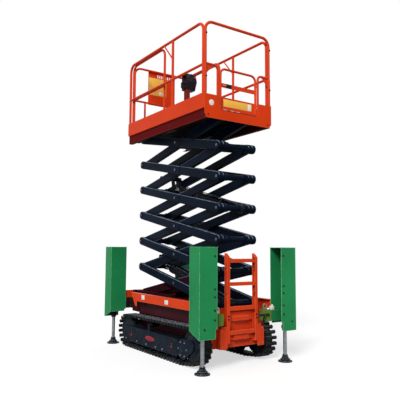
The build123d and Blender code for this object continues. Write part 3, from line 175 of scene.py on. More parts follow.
def enamel(name, paint, shade, rim, wear_and_highlight=0.5, rim_radius=0.005, dust_top=0.9, dusty=0.35,
           roughness=0.38, gloss=0.10, box_arm=False, patches=()):
    """Enamel sprayed on welded steel sheet and baked: glossy, slightly wavy, thin on its rims, where a
    lighter colour is partly worn paint and partly painted highlight.
    """
    material, tree, place = new_surface(name)
    height = add(tree, "ShaderNodeSeparateXYZ", {0: place}, "Z")
    low_down = add(tree, "ShaderNodeMapRange", {
        "Value": height, "From Min": dust_top, "From Max": DUSTIEST_Z, "To Max": dusty,
    })
    dusting = clouds(tree, place, DUST_CLOUD_MM, low=0.38, high=0.70, detail=6.0, most=low_down)
    matt = dusting
    drift = clouds(tree, place, PAINT_DRIFT_MM, low=0.35, high=0.65)
    colour = layered(tree, linear(paint), (drift, shade))
    for other_paint, limits in patches:
        patch = within(tree, place, **limits)
        colour = layered(tree, colour, (patch, other_paint))
        matt = add(tree, "ShaderNodeMath", {0: matt, 1: patch}, operation="MAXIMUM")
    rims = painted_upper_edge_highlight(tree, wear_and_highlight) if box_arm else worn_and_highlit_rims(tree, rim_radius, wear_and_highlight, low=0.01, high=0.12)
    # The rims take a lighter colour: partly worn paint, partly a painted highlight where edges catch the
    # light
    rubbed_and_highlit = clouds(tree, place, RIM_WEAR_AND_HIGHLIGHT_PATCH_MM, low=0.25, high=0.60, detail=4.0, most=rims)
    peel = add(tree, "ShaderNodeTexNoise", {"Vector": place, "Scale": 1000 / ORANGE_PEEL_MM, "Detail": 2.0})
    shaded(tree, {
        "Base Color": layered(tree, colour, (dusting, DUST), (rubbed_and_highlit, rim)),
        "Roughness": add(tree, "ShaderNodeMapRange", {"Value": matt, "To Min": roughness, "To Max": 0.90}),
        "Specular IOR Level": gloss, "IOR": 1.5,
    }, relief=peel, strength=0.12, depth_mm=0.6)
    return material


GREASE_PATCH_MM = 71.43
# Lines left by grinding and drawing, as coarse as they need to show
GRINDING_LINE_MM = (11.11, 11.11, 1.111)


def plating(name, colour, roughness, dirt):
    """Ground hard chrome, oiled steel or zinc: a bright metal with fine drawn lines and greasy patches."""
    material, tree, place = new_surface(name)
    grease = clouds(tree, place, GREASE_PATCH_MM, low=0.45, high=0.75, detail=4.0, most=0.55)
    per_metre = [1000 / size for size in GRINDING_LINE_MM]
    stretched = add(tree, "ShaderNodeMapping", {"Vector": place, "Scale": per_metre})
    lines = add(tree, "ShaderNodeTexNoise", {"Vector": stretched, "Scale": 1.0, "Detail": 2.0})
    shaded(tree, {
        "Base Color": layered(tree, linear(colour), (grease, dirt)), "Metallic": 1.0,
        "Roughness": add(tree, "ShaderNodeMapRange", {
            "Value": lines, "To Min": roughness, "To Max": roughness + 0.16,
        }),
    }, relief=lines, strength=0.05, depth_mm=0.3)
    return material


MUD_CLOUD_MM = 50.0
TOP_RUN_STREAK_MM = 25.0
RUBBER_GRAIN_MM = 3.125
SPLASHED_BELOW = 0.16
TOP_RUN_FROM, TOP_RUN_FULL = 0.26, 0.34


def moulded_rubber(name, colour, worn, mud_and_highlight, mud_amount):
    """Cured carbon-black rubber: matt, with a fine grain, dry mud near the ground, and a pale colour on the
    top run that is partly dust and partly painted highlight.
    """
    material, tree, place = new_surface(name)
    height = add(tree, "ShaderNodeSeparateXYZ", {0: place}, "Z")
    near_ground = add(tree, "ShaderNodeMapRange", {
        "Value": height, "From Min": SPLASHED_BELOW, "From Max": 0.0,
        "To Min": mud_amount / 4, "To Max": mud_amount,
    })
    splashed = clouds(tree, place, MUD_CLOUD_MM, low=0.40, high=0.68, detail=6.0, most=near_ground)
    high_up = add(tree, "ShaderNodeMapRange", {
        "Value": height, "From Min": TOP_RUN_FROM, "From Max": TOP_RUN_FULL,
    })
    lean = add(tree, "ShaderNodeSeparateXYZ", {0: add(tree, "ShaderNodeNewGeometry", output="Normal")}, "Z")
    skyward = add(tree, "ShaderNodeMapRange", {
        "Value": lean, "From Min": 0.45, "From Max": 0.90, "To Max": high_up,
    })
    # Pale on the upward faces of the top run: partly dust, partly painted highlight
    top_run_dust_and_highlight = clouds(tree, place, TOP_RUN_STREAK_MM, low=0.36, high=0.60, most=skyward)
    mud_dust_and_highlight = add(tree, "ShaderNodeMath", {0: splashed, 1: top_run_dust_and_highlight}, operation="MAXIMUM")
    grain = add(tree, "ShaderNodeTexNoise", {"Vector": place, "Scale": 1000 / RUBBER_GRAIN_MM, "Detail": 4.0})
    rubbed_and_highlit = worn_and_highlit_rims(tree, radius=0.006, most=0.35)
    shaded(tree, {
        "Base Color": layered(tree, linear(colour), (rubbed_and_highlit, worn), (mud_dust_and_highlight, mud_and_highlight)),
        "Roughness": 0.72, "Specular IOR Level": 0.2, "IOR": 1.5,
    }, relief=grain, strength=0.35, depth_mm=1.0)
    return material


PLASTIC_TONE_MM = 166.7
SPARK_GRAIN_MM = 2.222


def moulded_plastic(name, colour, roughness, bleached="#3A3A44", worn="#6A6A74"):
    """Injection-moulded plastic with a spark-eroded grain, a little bleached and rubbed at its edges."""
    material, tree, place = new_surface(name)
    tone = clouds(tree, place, PLASTIC_TONE_MM, low=0.35, high=0.65, most=0.15)
    rubbed_and_highlit = worn_and_highlit_rims(tree, radius=0.004, most=0.3)
    grain = add(tree, "ShaderNodeTexVoronoi", {"Vector": place, "Scale": 1000 / SPARK_GRAIN_MM}, "Distance")
    shaded(tree, {
        "Base Color": layered(tree, linear(colour), (tone, bleached), (rubbed_and_highlit, worn)),
        "Roughness": roughness, "Specular IOR Level": 0.25, "IOR": 1.46,
    }, relief=grain, strength=0.2, depth_mm=0.6)
    return material


# Finishes of the machine: paint, cloudy shade of it, and the lighter colour on its rims, partly paint worn
# thin and partly painted highlight
ORANGE_COAT = ("#DC3E10", "#D03A12")
# The arms' third colour is a painted highlight on their upper edges
ARM_COAT = ("#06101E", "#0A1628", "#7C8CA0")
FRAME_COAT = ("#0C1622", "#101C2A", "#5C6872")
# Near black painted shade for the undersides of the decks
PAINTED_UNDERSIDE_SHADE = "#0A060C"
ARM_LOOK = dict(rim_radius=0.014, dusty=0.03, dust_top=1.4, roughness=0.40, gloss=0.03, box_arm=True)

ORANGE = enamel("orange_baked_enamel", *ORANGE_COAT, "#F29A6C", wear_and_highlight=0.55, rim_radius=0.008, dusty=0.06)
DECK = enamel("orange_deck_enamel", *ORANGE_COAT, "#F28A58", wear_and_highlight=0.40, rim_radius=0.007, dusty=0.0,
              gloss=0.06, patches=(
                  # Painted shade: maroon on the side beams' recess under the toe-board lip
                  ("#5E1012", dict(half_width=0.545, front=1.070, below=3.196)),
                  # Painted shade: near black under the main floor
                  (PAINTED_UNDERSIDE_SHADE, dict(half_width=0.500, front=1.070, below=3.2415)),
              ))
ROLL_OUT = enamel("orange_roll_out_enamel", *ORANGE_COAT, "#F28A58", wear_and_highlight=0.40, dusty=0.0, gloss=0.03,
                  # Painted shade: near black under the roll-out deck
                  patches=((PAINTED_UNDERSIDE_SHADE, dict(half_width=0.510, below=3.262)),))
GREEN = enamel("green_baked_enamel", "#238C50", "#1D7E48", "#9CDCB4", wear_and_highlight=0.85, rim_radius=0.010, dusty=0.05)
OLIVE = enamel("green_and_olive_enamel", "#1F7A44", "#1B6E3E", "#B8B860", wear_and_highlight=0.5, dusty=0.05,
               patches=(
                   ("#5A7A30", dict(half_width=0.42, back=0.0, below=1.0)),
                   # Painted shade: near black on the rear brackets
                   ("#1C0A10", dict(half_width=0.50, front=0.0, below=1.0)),
               ))
SCISSOR = enamel("blue_black_arm_enamel", *ARM_COAT, wear_and_highlight=0.85, **ARM_LOOK)
LOWEST = enamel("black_base_enamel_painted_red_reflection", *ARM_COAT, wear_and_highlight=0.70, **ARM_LOOK,
                # Painted reflection: maroon low at the rear, the orange beams' red light in shade on the
                # blue-black arms
                patches=(("#2C0812", dict(half_width=0.60, front=0.35, below=1.05)),))
SLATE = enamel("slate_frame_enamel", *FRAME_COAT, wear_and_highlight=0.45, dusty=0.05, dust_top=0.5, gloss=0.05,
               # Painted shade: near black on all but the outer faces, under the chassis and between the
               # tracks
               patches=(("#04060C", dict(half_width=0.597, below=1.0)),))
COVER = enamel("slate_cover_enamel", *FRAME_COAT, wear_and_highlight=0.45, dusty=0.05, dust_top=0.5, gloss=0.06)
# Dark maroon on the tray: painted shade, the orange paint as it looks in shadow under the side beams
PAINTED_SHADE_TRAY = enamel("tray_enamel_painted_shade", "#400C1A", "#340A16", "#8A2A28", wear_and_highlight=0.5, dusty=0.04, gloss=0.06)
CYLINDER = enamel("black_cylinder_enamel", "#070C14", "#050910", "#4C5864", wear_and_highlight=0.6, dusty=0.04, gloss=0.12)
WHEEL = enamel("dark_wheel_enamel", "#0A0E14", "#080B10", "#5A6066", wear_and_highlight=0.6, dusty=0.10, dust_top=0.6,
               gloss=0.08)
FOOT = enamel("dark_foot_enamel", "#10141A", "#0C1014", "#A0A8B0", wear_and_highlight=0.9, dusty=0.10, dust_top=0.4,
              gloss=0.16)
# Dark red on the control post: painted shade
POST = enamel("post_enamel_painted_shade", "#7E2422", "#6E1E20", "#A85A48", wear_and_highlight=0.4)
YELLOW = enamel("yellow_sign_enamel", "#F2BE50", "#EDB542", "#F8E0A0", wear_and_highlight=0.3)
WHITE = enamel("white_plate_enamel", "#E8E4DC", "#E0DCD2", "#FFFFFF", wear_and_highlight=0.2)
BADGE = enamel("red_badge_enamel", "#9C2434", "#8A1C2C", "#D07880", wear_and_highlight=0.5, dust_top=0.3)
ROD = plating("ground_chrome_rod", "#AEB6BA", 0.26, "#6A7072")
PIN = plating("oiled_pin_steel", "#5C6670", 0.38, "#23282E")
ZINC = plating("passivated_zinc", "#C0BEA8", 0.34, "#8A8468")
RUBBER = moulded_rubber("black_track_rubber", "#06080C", "#4A4D52", "#A4A8B0", 0.16)
PLASTIC = moulded_plastic("black_moulded_plastic", "#0C0C16", 0.5)
RED_PLASTIC = moulded_plastic("red_moulded_plastic", "#B01818", 0.35)

FINISHED_NODES = {
    ORANGE: ["side_beams", "front_plate", "ladder", "rear_crossbeam", "rear_panel", "extension_rails",
             "guardrail_left", "guardrail_right", "guardrail_front", "gate", "gate_sheets"],
    DECK: ["platform_deck"],
    ROLL_OUT: ["extension_deck"],
    GREEN: [f"outrigger_housing_{corner}" for corner in CORNERS],
    OLIVE: ["outrigger_brackets"],
    SCISSOR: ["platform_underframe"] + [f"outer_arms_{stage}" for stage in STAGES]
             + [f"inner_arms_{stage}" for stage in STAGES[1:]],
    LOWEST: ["inner_arms_1", "scissor_base", "chassis_roller_channels"],
    SLATE: ["track_frame_left", "track_frame_right"],
    PAINTED_SHADE_TRAY: ["chassis_tray"],
    CYLINDER: ["lift_barrel_lower", "lift_barrel_upper", "leg_cylinders"],
    WHEEL: ["track_wheels_left", "track_wheels_right"],
    FOOT: [f"foot_{corner}" for corner in CORNERS],
    POST: ["control_post"],
    ROD: ["lift_rod_lower", "lift_rod_upper"] + [f"leg_rod_{corner}" for corner in CORNERS],
    ZINC: ["lashing_eyes"],
    RUBBER: ["track_left", "track_right"],
    PLASTIC: ["control_box"],
}
for finish, nodes in FINISHED_NODES.items():
    for node in nodes:
        for holder in frame["nodes"][node].material_slots:
            holder.material = finish


# Building blocks of a piece
def finished(name, bm, finish, body):
    """Close the seams, turn the faces outwards and hang the piece on its body."""
    bmesh.ops.remove_doubles(bm, verts=bm.verts, dist=SEAM)
    bmesh.ops.recalc_face_normals(bm, faces=bm.faces)
    mesh = bpy.data.meshes.new(name)
    bm.to_mesh(mesh)
    bm.free()
    mesh.materials.append(finish)
    mesh.shade_smooth()
    mesh.set_sharp_from_angle(angle=SHARP_ANGLE)
    piece = bpy.data.objects.new(name, mesh)
    bpy.context.scene.collection.objects.link(piece)
    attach(piece, body)


def facing(at, towards):
    """A place at a point, its own Z turned to a direction."""
    return Matrix.Translation(Vector(at)) @ Vector(towards).to_track_quat("Z", "Y").to_matrix().to_4x4()


def plate(bm, corner, opposite, rim=0.001):
    """A flat plate between two opposite corners, its edges broken."""
    low, high = (Vector(map(pick, corner, opposite)) for pick in (min, max))
    place = Matrix.Translation((low + high) / 2) @ Matrix.Diagonal((*(high - low), 1.0))
    made = bmesh.ops.create_cube(bm, size=1.0, matrix=place)
    edges = list({edge for vert in made["verts"] for edge in vert.link_edges})
    bmesh.ops.bevel(bm, geom=edges, offset=rim, segments=2, profile=0.5, affect="EDGES", material=-1)


def plate_on_front(bm, face_x, ys, zs, thickness, rim=0.001):
    """A flat plate on a face that looks forward."""
    plate(bm, (face_x, ys[0], zs[0]), (face_x + thickness, ys[1], zs[1]), rim)


def turned(bm, at, towards, outline, steps=20):
    """A turned part: pairs of radius and height spun about its axis."""
    place = facing(at, towards)
    verts = [bm.verts.new(place @ Vector((radius, 0, height))) for radius, height in outline]
    edges = [bm.edges.new(pair) for pair in zip(verts, verts[1:])]
    bmesh.ops.spin(bm, geom=verts + edges, cent=place.translation, axis=place.to_3x3() @ UP,
                   angle=math.tau, steps=steps, use_merge=True)


WASHER_HEIGHT = 0.003
WASHER_RIM = 0.001


def hex_bolt(bm, at, towards, across=0.017):
    """A hexagon head on its washer, the head's height and chamfer in proportion to its width."""
    place = facing(at, towards)
    washer = across * 0.72
    head_radius = across * 0.577
    head_height = across * 0.4
    chamfer = across * 0.07
    head_middle = WASHER_HEIGHT + head_height / 2
    turned(bm, at, towards, [
        (0, 0.0), (washer, 0.0), (washer, WASHER_HEIGHT - WASHER_RIM), (washer - WASHER_RIM, WASHER_HEIGHT),
        (0, WASHER_HEIGHT),
    ], steps=16)
    head = bmesh.ops.create_cone(
        bm, cap_ends=True, segments=6, radius1=head_radius, radius2=head_radius, depth=head_height,
        matrix=place @ Matrix.Translation((0, 0, head_middle)),
    )
    on_top = {vert for vert in head["verts"] if (place.inverted() @ vert.co).z > head_middle}
    edges = {edge for vert in on_top for edge in vert.link_edges if edge.other_vert(vert) in on_top}
    bmesh.ops.bevel(bm, geom=list(edges), offset=chamfer, segments=1, profile=0.5,
                    affect="EDGES", material=-1)


def pan_screw(bm, at, towards, radius, dome=0.62):
    """A domed screw head with a driver recess, its height a share of its radius."""
    top = radius * dome
    turned(bm, at, towards, [
        (radius, 0.0), (radius, top * 0.4), (radius * 0.8, top * 0.8), (radius * 0.4, top),
        (radius * 0.34, top * 0.55), (0, top * 0.5),
    ], steps=14)


def bolt_circle(count, radius, first=0.0):
    """The places on a bolt circle, as pairs of distances from its centre."""
    angles = [first + math.tau * number / count for number in range(count)]
    return [(radius * math.cos(angle), radius * math.sin(angle)) for angle in angles]


def rigid_pipe(name, points, radius, finish, body):
    """A bent steel pipe through a few points."""
    curve = bpy.data.curves.new(name, "CURVE")
    curve.dimensions = "3D"
    curve.bevel_depth = radius
    curve.bevel_resolution = 3
    curve.use_fill_caps = True
    line = curve.splines.new("NURBS")
    line.points.add(len(points) - 1)
    for point, where in zip(line.points, points):
        point.co = (*where, 1.0)
    line.order_u = 3
    line.use_endpoint_u = True
    line.resolution_u = 8
    curve.materials.append(finish)
    piece = bpy.data.objects.new(name, curve)
    bpy.context.scene.collection.objects.link(piece)
    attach(piece, body)


# Outriggers: bolts on the end faces, nearly flush screws in the lids and bolts on the feet
HOUSING = far_corner("outrigger_housing_front_right")
# The outrigger arms end on the axes of the legs
LEG_AXIS = far_corner("outrigger_brackets")
HOUSING_BOLTS = ((0.545, 1.36), (0.545, 0.975), (0.545, 0.885), (0.545, 0.73), (0.545, 0.62), (0.690, 0.52))
LID_SCREW_XS = (1.108, 1.190, 1.272)
LID_SCREW_YS = (0.531, 0.740)
LID_SCREW_RADIUS = 0.008
LID_SCREW_DOME = 0.18
FOOT_PLATE_TOP = 0.014
FOOT_BOLT_CIRCLE = 0.076
FOOT_BOLT_ACROSS = 0.013

for corner, (end, side) in CORNERS.items():
    bm = bmesh.new()
    for y, z in HOUSING_BOLTS:
        hex_bolt(bm, (end * HOUSING.x, side * y, z), (end, 0, 0))
    finished(f"housing_bolts_{corner}", bm, WHEEL, "chassis")

    bm = bmesh.new()
    for x in LID_SCREW_XS:
        for y in LID_SCREW_YS:
            pan_screw(bm, (end * x, side * y, HOUSING.z), UP, LID_SCREW_RADIUS, LID_SCREW_DOME)
    finished(f"lid_screws_{corner}", bm, GREEN, "chassis")

    bm = bmesh.new()
    for x, y in bolt_circle(4, FOOT_BOLT_CIRCLE, math.radians(45)):
        at = (end * LEG_AXIS.x + x, side * LEG_AXIS.y + y, FOOT_PLATE_TOP)
        hex_bolt(bm, at, UP, FOOT_BOLT_ACROSS)
    finished(f"foot_bolts_{corner}", bm, FOOT, f"leg_{corner}")

# Scissor stack: keeper discs with grease nipples over the ends of every pin
OUTER_ARM_FACE = far_corner("outer_arms_2").y
INNER_ARM_FACE = far_corner("inner_arms_2").y
KEEPER = [
    (0, 0.0), (0.021, 0.0), (0.021, 0.0018), (0.019, 0.0028), (0.008, 0.0028), (0.007, 0.0036), (0, 0.0036),
]

for stage in STAGES:
    centre = Vector(JOINTS[f"centre_{stage}"]["pos_m"])
    front_joint = f"front_{stage}" if stage < STAGES[-1] else "platform_level"
    ends = [Vector(JOINTS[front_joint]["pos_m"])]
    if stage > 1:
        ends.append(2 * centre - ends[0])
    for name, body, face, pins in (
        (f"centre_pin_caps_{stage}", f"outer_{stage}", OUTER_ARM_FACE, [centre]),
        (f"end_pin_caps_{stage}", f"inner_{stage}", INNER_ARM_FACE, ends),
    ):
        bm = bmesh.new()
        for side in HANDS.values():
            for pin in pins:
                turned(bm, (pin.x, side * face, pin.z), (0, side, 0), KEEPER)
        finished(name, bm, PIN, body)

# Track frames: bolts, caps over the drive cover and the wheels, and what shows in the oval windows
FRAME_FACE_Y = far_corner("track_frame_right").y
WHEEL_FACE_Y = far_corner("track_wheels_right").y
TOP_BOLT_XS = (-0.93, -0.50, 0.10, 0.50)
TOP_BOLT_Z = 0.272
LOW_BOLT_XS = (-0.86, -0.52, -0.24, 0.02, 0.20)
LOW_BOLT_Z = 0.122
FRAME_BOLT_ACROSS = 0.016
COVER_AT = (0.690, 0.200)
COVER_BOLT_CIRCLE = 0.092
COVER_BOLT_ACROSS = 0.014
COVER_CAP = [(0.052, 0.0), (0.052, 0.003), (0.047, 0.0055), (0.024, 0.0055), (0.022, 0.0035), (0, 0.0035)]
WHEELS_AT = ((-0.877, 0.235), (0.865, 0.258))
WHEEL_CAP = [
    (0.128, 0.0), (0.128, 0.004), (0.118, 0.010), (0.062, 0.012), (0.058, 0.022), (0.040, 0.026), (0, 0.026),
]
WINDOW_XS = (-0.709, 0.411)
WINDOW_Z = 0.1975
WINDOW_FLOOR_Y = FRAME_FACE_Y - 0.040
WINDOW_HALF_WIDTH = 0.022
WINDOW_HALF_HEIGHT = 0.046
RIM_RADIUS = 0.058
RIM_HEIGHT = 0.002
TENSIONER_DROP = 0.012
TENSIONER = [(0.020, 0.0), (0.020, 0.034), (0.017, 0.038), (0.010, 0.040), (0, 0.040)]
TENSIONER_BOLT_RISE = 0.026
TENSIONER_BOLT = [(0.009, 0.0), (0.009, 0.028), (0.007, 0.030), (0.007, 0.034), (0, 0.034)]


def window_rim(bm, centre, side):
    """The black moulded rim round an oval window, a disc with the oval left open."""
    loops = []
    for radius, half_height in ((WINDOW_HALF_WIDTH, WINDOW_HALF_HEIGHT), (RIM_RADIUS, RIM_RADIUS)):
        ring = bmesh.ops.create_circle(bm, segments=32, radius=radius, matrix=facing(centre, (0, side, 0)))
        for vert in ring["verts"]:
            rise = vert.co.z - centre.z
            if abs(rise) > SEAM:
                vert.co.z += math.copysign(half_height - radius, rise)
        loops += list({edge for vert in ring["verts"] for edge in vert.link_edges})
    faces = bmesh.ops.bridge_loops(bm, edges=loops)["faces"]
    lifted = bmesh.ops.extrude_face_region(bm, geom=faces)["geom"]
    verts = [item for item in lifted if isinstance(item, bmesh.types.BMVert)]
    bmesh.ops.translate(bm, verts=verts, vec=(0, side * RIM_HEIGHT, 0))


for hand, side in HANDS.items():
    outwards = (0, side, 0)
    bm = bmesh.new()
    for x in TOP_BOLT_XS:
        hex_bolt(bm, (x, side * FRAME_FACE_Y, TOP_BOLT_Z), outwards, FRAME_BOLT_ACROSS)
    finished(f"track_frame_top_bolts_{hand}", bm, WHEEL, "chassis")

    bm = bmesh.new()
    for x in LOW_BOLT_XS:
        hex_bolt(bm, (x, side * FRAME_FACE_Y, LOW_BOLT_Z), outwards, FRAME_BOLT_ACROSS)
    for x, z in bolt_circle(6, COVER_BOLT_CIRCLE):
        at = (COVER_AT[0] + x, side * FRAME_FACE_Y, COVER_AT[1] + z)
        hex_bolt(bm, at, outwards, COVER_BOLT_ACROSS)
    finished(f"track_frame_bolts_{hand}", bm, ROD, "chassis")

    bm = bmesh.new()
    turned(bm, (COVER_AT[0], side * FRAME_FACE_Y, COVER_AT[1]), outwards, COVER_CAP, steps=28)
    for x, z in WHEELS_AT:
        turned(bm, (x, side * WHEEL_FACE_Y, z), outwards, WHEEL_CAP, steps=32)
    finished(f"hub_caps_{hand}", bm, COVER, "chassis")

    bm = bmesh.new()
    for x in WINDOW_XS:
        window_rim(bm, Vector((x, side * FRAME_FACE_Y, WINDOW_Z)), side)
    finished(f"window_rims_{hand}", bm, PLASTIC, "chassis")

    for name, finish, rise, outline, steps in (
        ("window_tensioners", BADGE, -TENSIONER_DROP, TENSIONER, 20),
        ("window_bolts", ZINC, TENSIONER_BOLT_RISE, TENSIONER_BOLT, 16),
    ):
        bm = bmesh.new()
        for x in WINDOW_XS:
            turned(bm, (x, side * WINDOW_FLOOR_Y, WINDOW_Z + rise), outwards, outline, steps)
        finished(f"{name}_{hand}", bm, finish, "chassis")

# Blank oval badge on the left track frame
BADGE_AT = (-0.146, -FRAME_FACE_Y, 0.210)
BADGE_LENGTH = 0.250
BADGE_HEIGHT = 0.064
BADGE_DISC = [(0, 0.0), (0.5, 0.0), (0.5, 0.0012), (0.47, 0.002), (0, 0.002)]

bm = bmesh.new()
turned(bm, (0, 0, 0), UP, BADGE_DISC, steps=48)
bmesh.ops.scale(bm, vec=(BADGE_LENGTH, BADGE_HEIGHT, 1.0), verts=bm.verts)
upright = Matrix.Rotation(math.radians(90), 4, "X")
bmesh.ops.transform(bm, matrix=Matrix.Translation(BADGE_AT) @ upright, verts=bm.verts)
finished("blank_track_badge", bm, BADGE, "chassis")

# Side beams: two blank white plates on the left web, and the bolts that hold the beams
SIGN_THICKNESS = 0.0015
BEAM_FACE_Y = far_corner("side_beams").y
BEAM_PLATES = (((-0.497, 0.709), (-0.404, 0.773)), ((0.157, 0.699), (0.249, 0.757)))
BEAM_BOLT_XS = (-0.76, 0.62, 0.98)
BEAM_BOLT_Z = 0.735
BEAM_BOLT_ACROSS = 0.016

bm = bmesh.new()
for (x, z), (x_end, z_top) in BEAM_PLATES:
    plate(bm, (x, -BEAM_FACE_Y, z), (x_end, -BEAM_FACE_Y - SIGN_THICKNESS, z_top))
finished("blank_beam_plates", bm, WHITE, "chassis")
for hand, side in HANDS.items():
    bm = bmesh.new()
    for x in BEAM_BOLT_XS:
        hex_bolt(bm, (x, side * BEAM_FACE_Y, BEAM_BOLT_Z), (0, side, 0), BEAM_BOLT_ACROSS)
    finished(f"beam_bolts_{hand}", bm, ORANGE, "chassis")

# Ladder: grip studs in two rows on each rung, bolts on the rails and on the flared foot plates
LADDER_FACE_X = far_corner("ladder").x
RUNG_TOPS = (1.320, 1.032, 0.735, 0.442)
STUD_XS = (1.101, 1.119)
STUD_COLUMNS = 13
STUD_PITCH = 0.03
STUD = [(0.0062, 0.0), (0.0050, 0.0018), (0.0022, 0.0024), (0.0016, 0.0012), (0, 0.0012)]
RAIL_BOLT_Y = 0.222
RAIL_BOLT_ZS = (0.625, 0.585)
RAIL_BOLT_ACROSS = 0.016
FLARE_BOLT_Y = 0.318
FLARE_BOLT_ZS = (0.455, 0.265)
FLARE_BOLT_ACROSS = 0.012

bm = bmesh.new()
first_stud_y = -STUD_PITCH * (STUD_COLUMNS - 1) / 2
for top in RUNG_TOPS:
    for column in range(STUD_COLUMNS):
        for x in STUD_XS:
            turned(bm, (x, first_stud_y + STUD_PITCH * column, top), UP, STUD, steps=10)
finished("rung_grip_studs", bm, ORANGE, "chassis")
for name, finish, y, heights, across in (
    ("ladder_bolts", WHEEL, RAIL_BOLT_Y, RAIL_BOLT_ZS, RAIL_BOLT_ACROSS),
    ("foot_plate_bolts", ORANGE, FLARE_BOLT_Y, FLARE_BOLT_ZS, FLARE_BOLT_ACROSS),
):
    bm = bmesh.new()
    for side in HANDS.values():
        for z in heights:
            hex_bolt(bm, (LADDER_FACE_X, side * y, z), FORWARD, across)
    finished(name, bm, finish, "chassis")

# Dark plates that close the slots in the webs of the ladder's rails from behind: painted shade in the slots
SLOT_TOPS = (1.215, 0.900)
SLOT_SHADE_XS = (1.084, 1.128)
SLOT_SHADE_YS = (0.237, 0.239)
SLOT_SHADE_ABOVE = 0.004
SLOT_SHADE_BELOW = 0.052

bm = bmesh.new()
for side in HANDS.values():
    for top in SLOT_TOPS:
        corners = zip(SLOT_SHADE_XS, SLOT_SHADE_YS, (top - SLOT_SHADE_BELOW, top + SLOT_SHADE_ABOVE))
        plate(bm, *[(x, side * y, z) for x, y, z in corners], rim=0.0006)
finished("rail_slot_painted_shade", bm, PLASTIC, "chassis")

# Release valve on the right foot plate: its body, and a black T handle that leans forward
VALVE_BODY = ((1.140, 0.296, 0.480), (1.168, 0.326, 0.500))
VALVE_TOP = Vector((1.158, 0.311, 0.500))
HANDLE_AT = Vector((1.216, 0.289, 0.618))
HANDLE_HALF_LENGTH = 0.084
STEM_RADIUS = 0.009
STEM_NUT_RADIUS = 0.016
HANDLE_BAR = [
    (0, 0.0), (0.009, 0.001), (0.014, 0.007), (0.014, 0.056), (0.010, 0.068), (0.010, 0.100), (0.014, 0.112),
    (0.014, 0.161), (0.009, 0.167), (0, 0.168),
]

stem = HANDLE_AT - VALVE_TOP
bm = bmesh.new()
plate(bm, *VALVE_BODY, rim=0.004)
turned(bm, VALVE_TOP, stem, [
    (STEM_NUT_RADIUS, 0.0), (STEM_NUT_RADIUS, 0.020), (STEM_RADIUS, 0.026), (STEM_RADIUS, stem.length),
    (0, stem.length),
], steps=16)
turned(bm, HANDLE_AT - LEFT_TO_RIGHT * HANDLE_HALF_LENGTH, LEFT_TO_RIGHT, HANDLE_BAR, steps=16)
finished("release_valve_handle", bm, PLASTIC, "chassis")

# White couplings on top of the front outrigger arms
COUPLING_FOOT = ((1.120, 0.453, 0.665), (1.166, 0.503, 0.712))
COUPLING_NOSE_AT = (1.143, 0.484, 0.712)
COUPLING_NOSE = [(0.017, 0.0), (0.017, 0.008), (0.013, 0.010), (0.013, 0.016), (0.009, 0.020), (0, 0.020)]

for hand, side in HANDS.items():
    bm = bmesh.new()
    plate(bm, *[(x, side * y, z) for x, y, z in COUPLING_FOOT], rim=0.004)
    x, y, z = COUPLING_NOSE_AT
    turned(bm, (x, side * y, z), UP, COUPLING_NOSE, steps=18)
    finished(f"arm_coupling_{hand}", bm, WHITE, "chassis")

# Lift cylinders: a rigid oil pipe along each barrel, and the clips that hold it
PIPE_RADIUS = 0.007
PIPE_LIFT = 0.062
PIPE_END_LIFT = 0.048
PIPE_REACHES = (0.10, 0.15, 0.60, 1.05, 1.32, 1.36)
CLIP_REACHES = (0.389, 0.939)
CLIP = [(0.0503, 0.0), (0.0555, 0.0), (0.057, 0.002), (0.057, 0.020), (0.0555, 0.022), (0.0503, 0.022)]

for which in ("lower", "upper"):
    foot_pin = Vector(JOINTS[f"barrel_{which}_pin"]["pos_m"])
    along = Vector(JOINTS[f"rod_{which}_slide"]["axis"]).normalized()
    above = LEFT_TO_RIGHT.cross(along).normalized()
    if above.z < 0:
        above.negate()
    route = [(PIPE_REACHES[0], PIPE_END_LIFT), *((reach, PIPE_LIFT) for reach in PIPE_REACHES),
             (PIPE_REACHES[-1], PIPE_END_LIFT)]
    points = [foot_pin + along * reach + above * lift for reach, lift in route]
    rigid_pipe(f"barrel_pipe_{which}", points, PIPE_RADIUS, PIN, f"barrel_{which}")
    bm = bmesh.new()
    for reach in CLIP_REACHES:
        turned(bm, foot_pin + along * reach, along, CLIP, steps=28)
    finished(f"barrel_clips_{which}", bm, PIN, f"barrel_{which}")

# Platform: blank roundel and bolts on the panels, pins that hold the front hoop
PANEL_FACE_X = far_corner("platform_deck").x
PANEL_BOLT_ACROSS = 0.015
FRONT_BOLTS = ((-0.497, 3.115), (0.484, 3.112))
SIDE_BOLT_XS = (0.985, 1.035, -0.96, 0.20)
SIDE_BOLT_Y = 0.530
SIDE_BOLT_Z = 3.125
RAIL_Y = middle("guardrail_right").y
HOOP_X = 1.0535
HOOP_PIN_SEAT = 0.0188
HOOP_PIN_ZS = (4.16, 3.60)
HOOP_PIN = [
    (0, 0.0), (0.008, 0.0), (0.008, 0.004), (0.013, 0.004), (0.013, 0.009), (0.010, 0.012), (0, 0.012),
]
ROUNDEL = [(0, 0.0), (0.038, 0.0), (0.038, 0.001), (0.037, 0.0015), (0, 0.0015)]
ROUNDEL_AT = (PANEL_FACE_X, -0.447, 3.268)

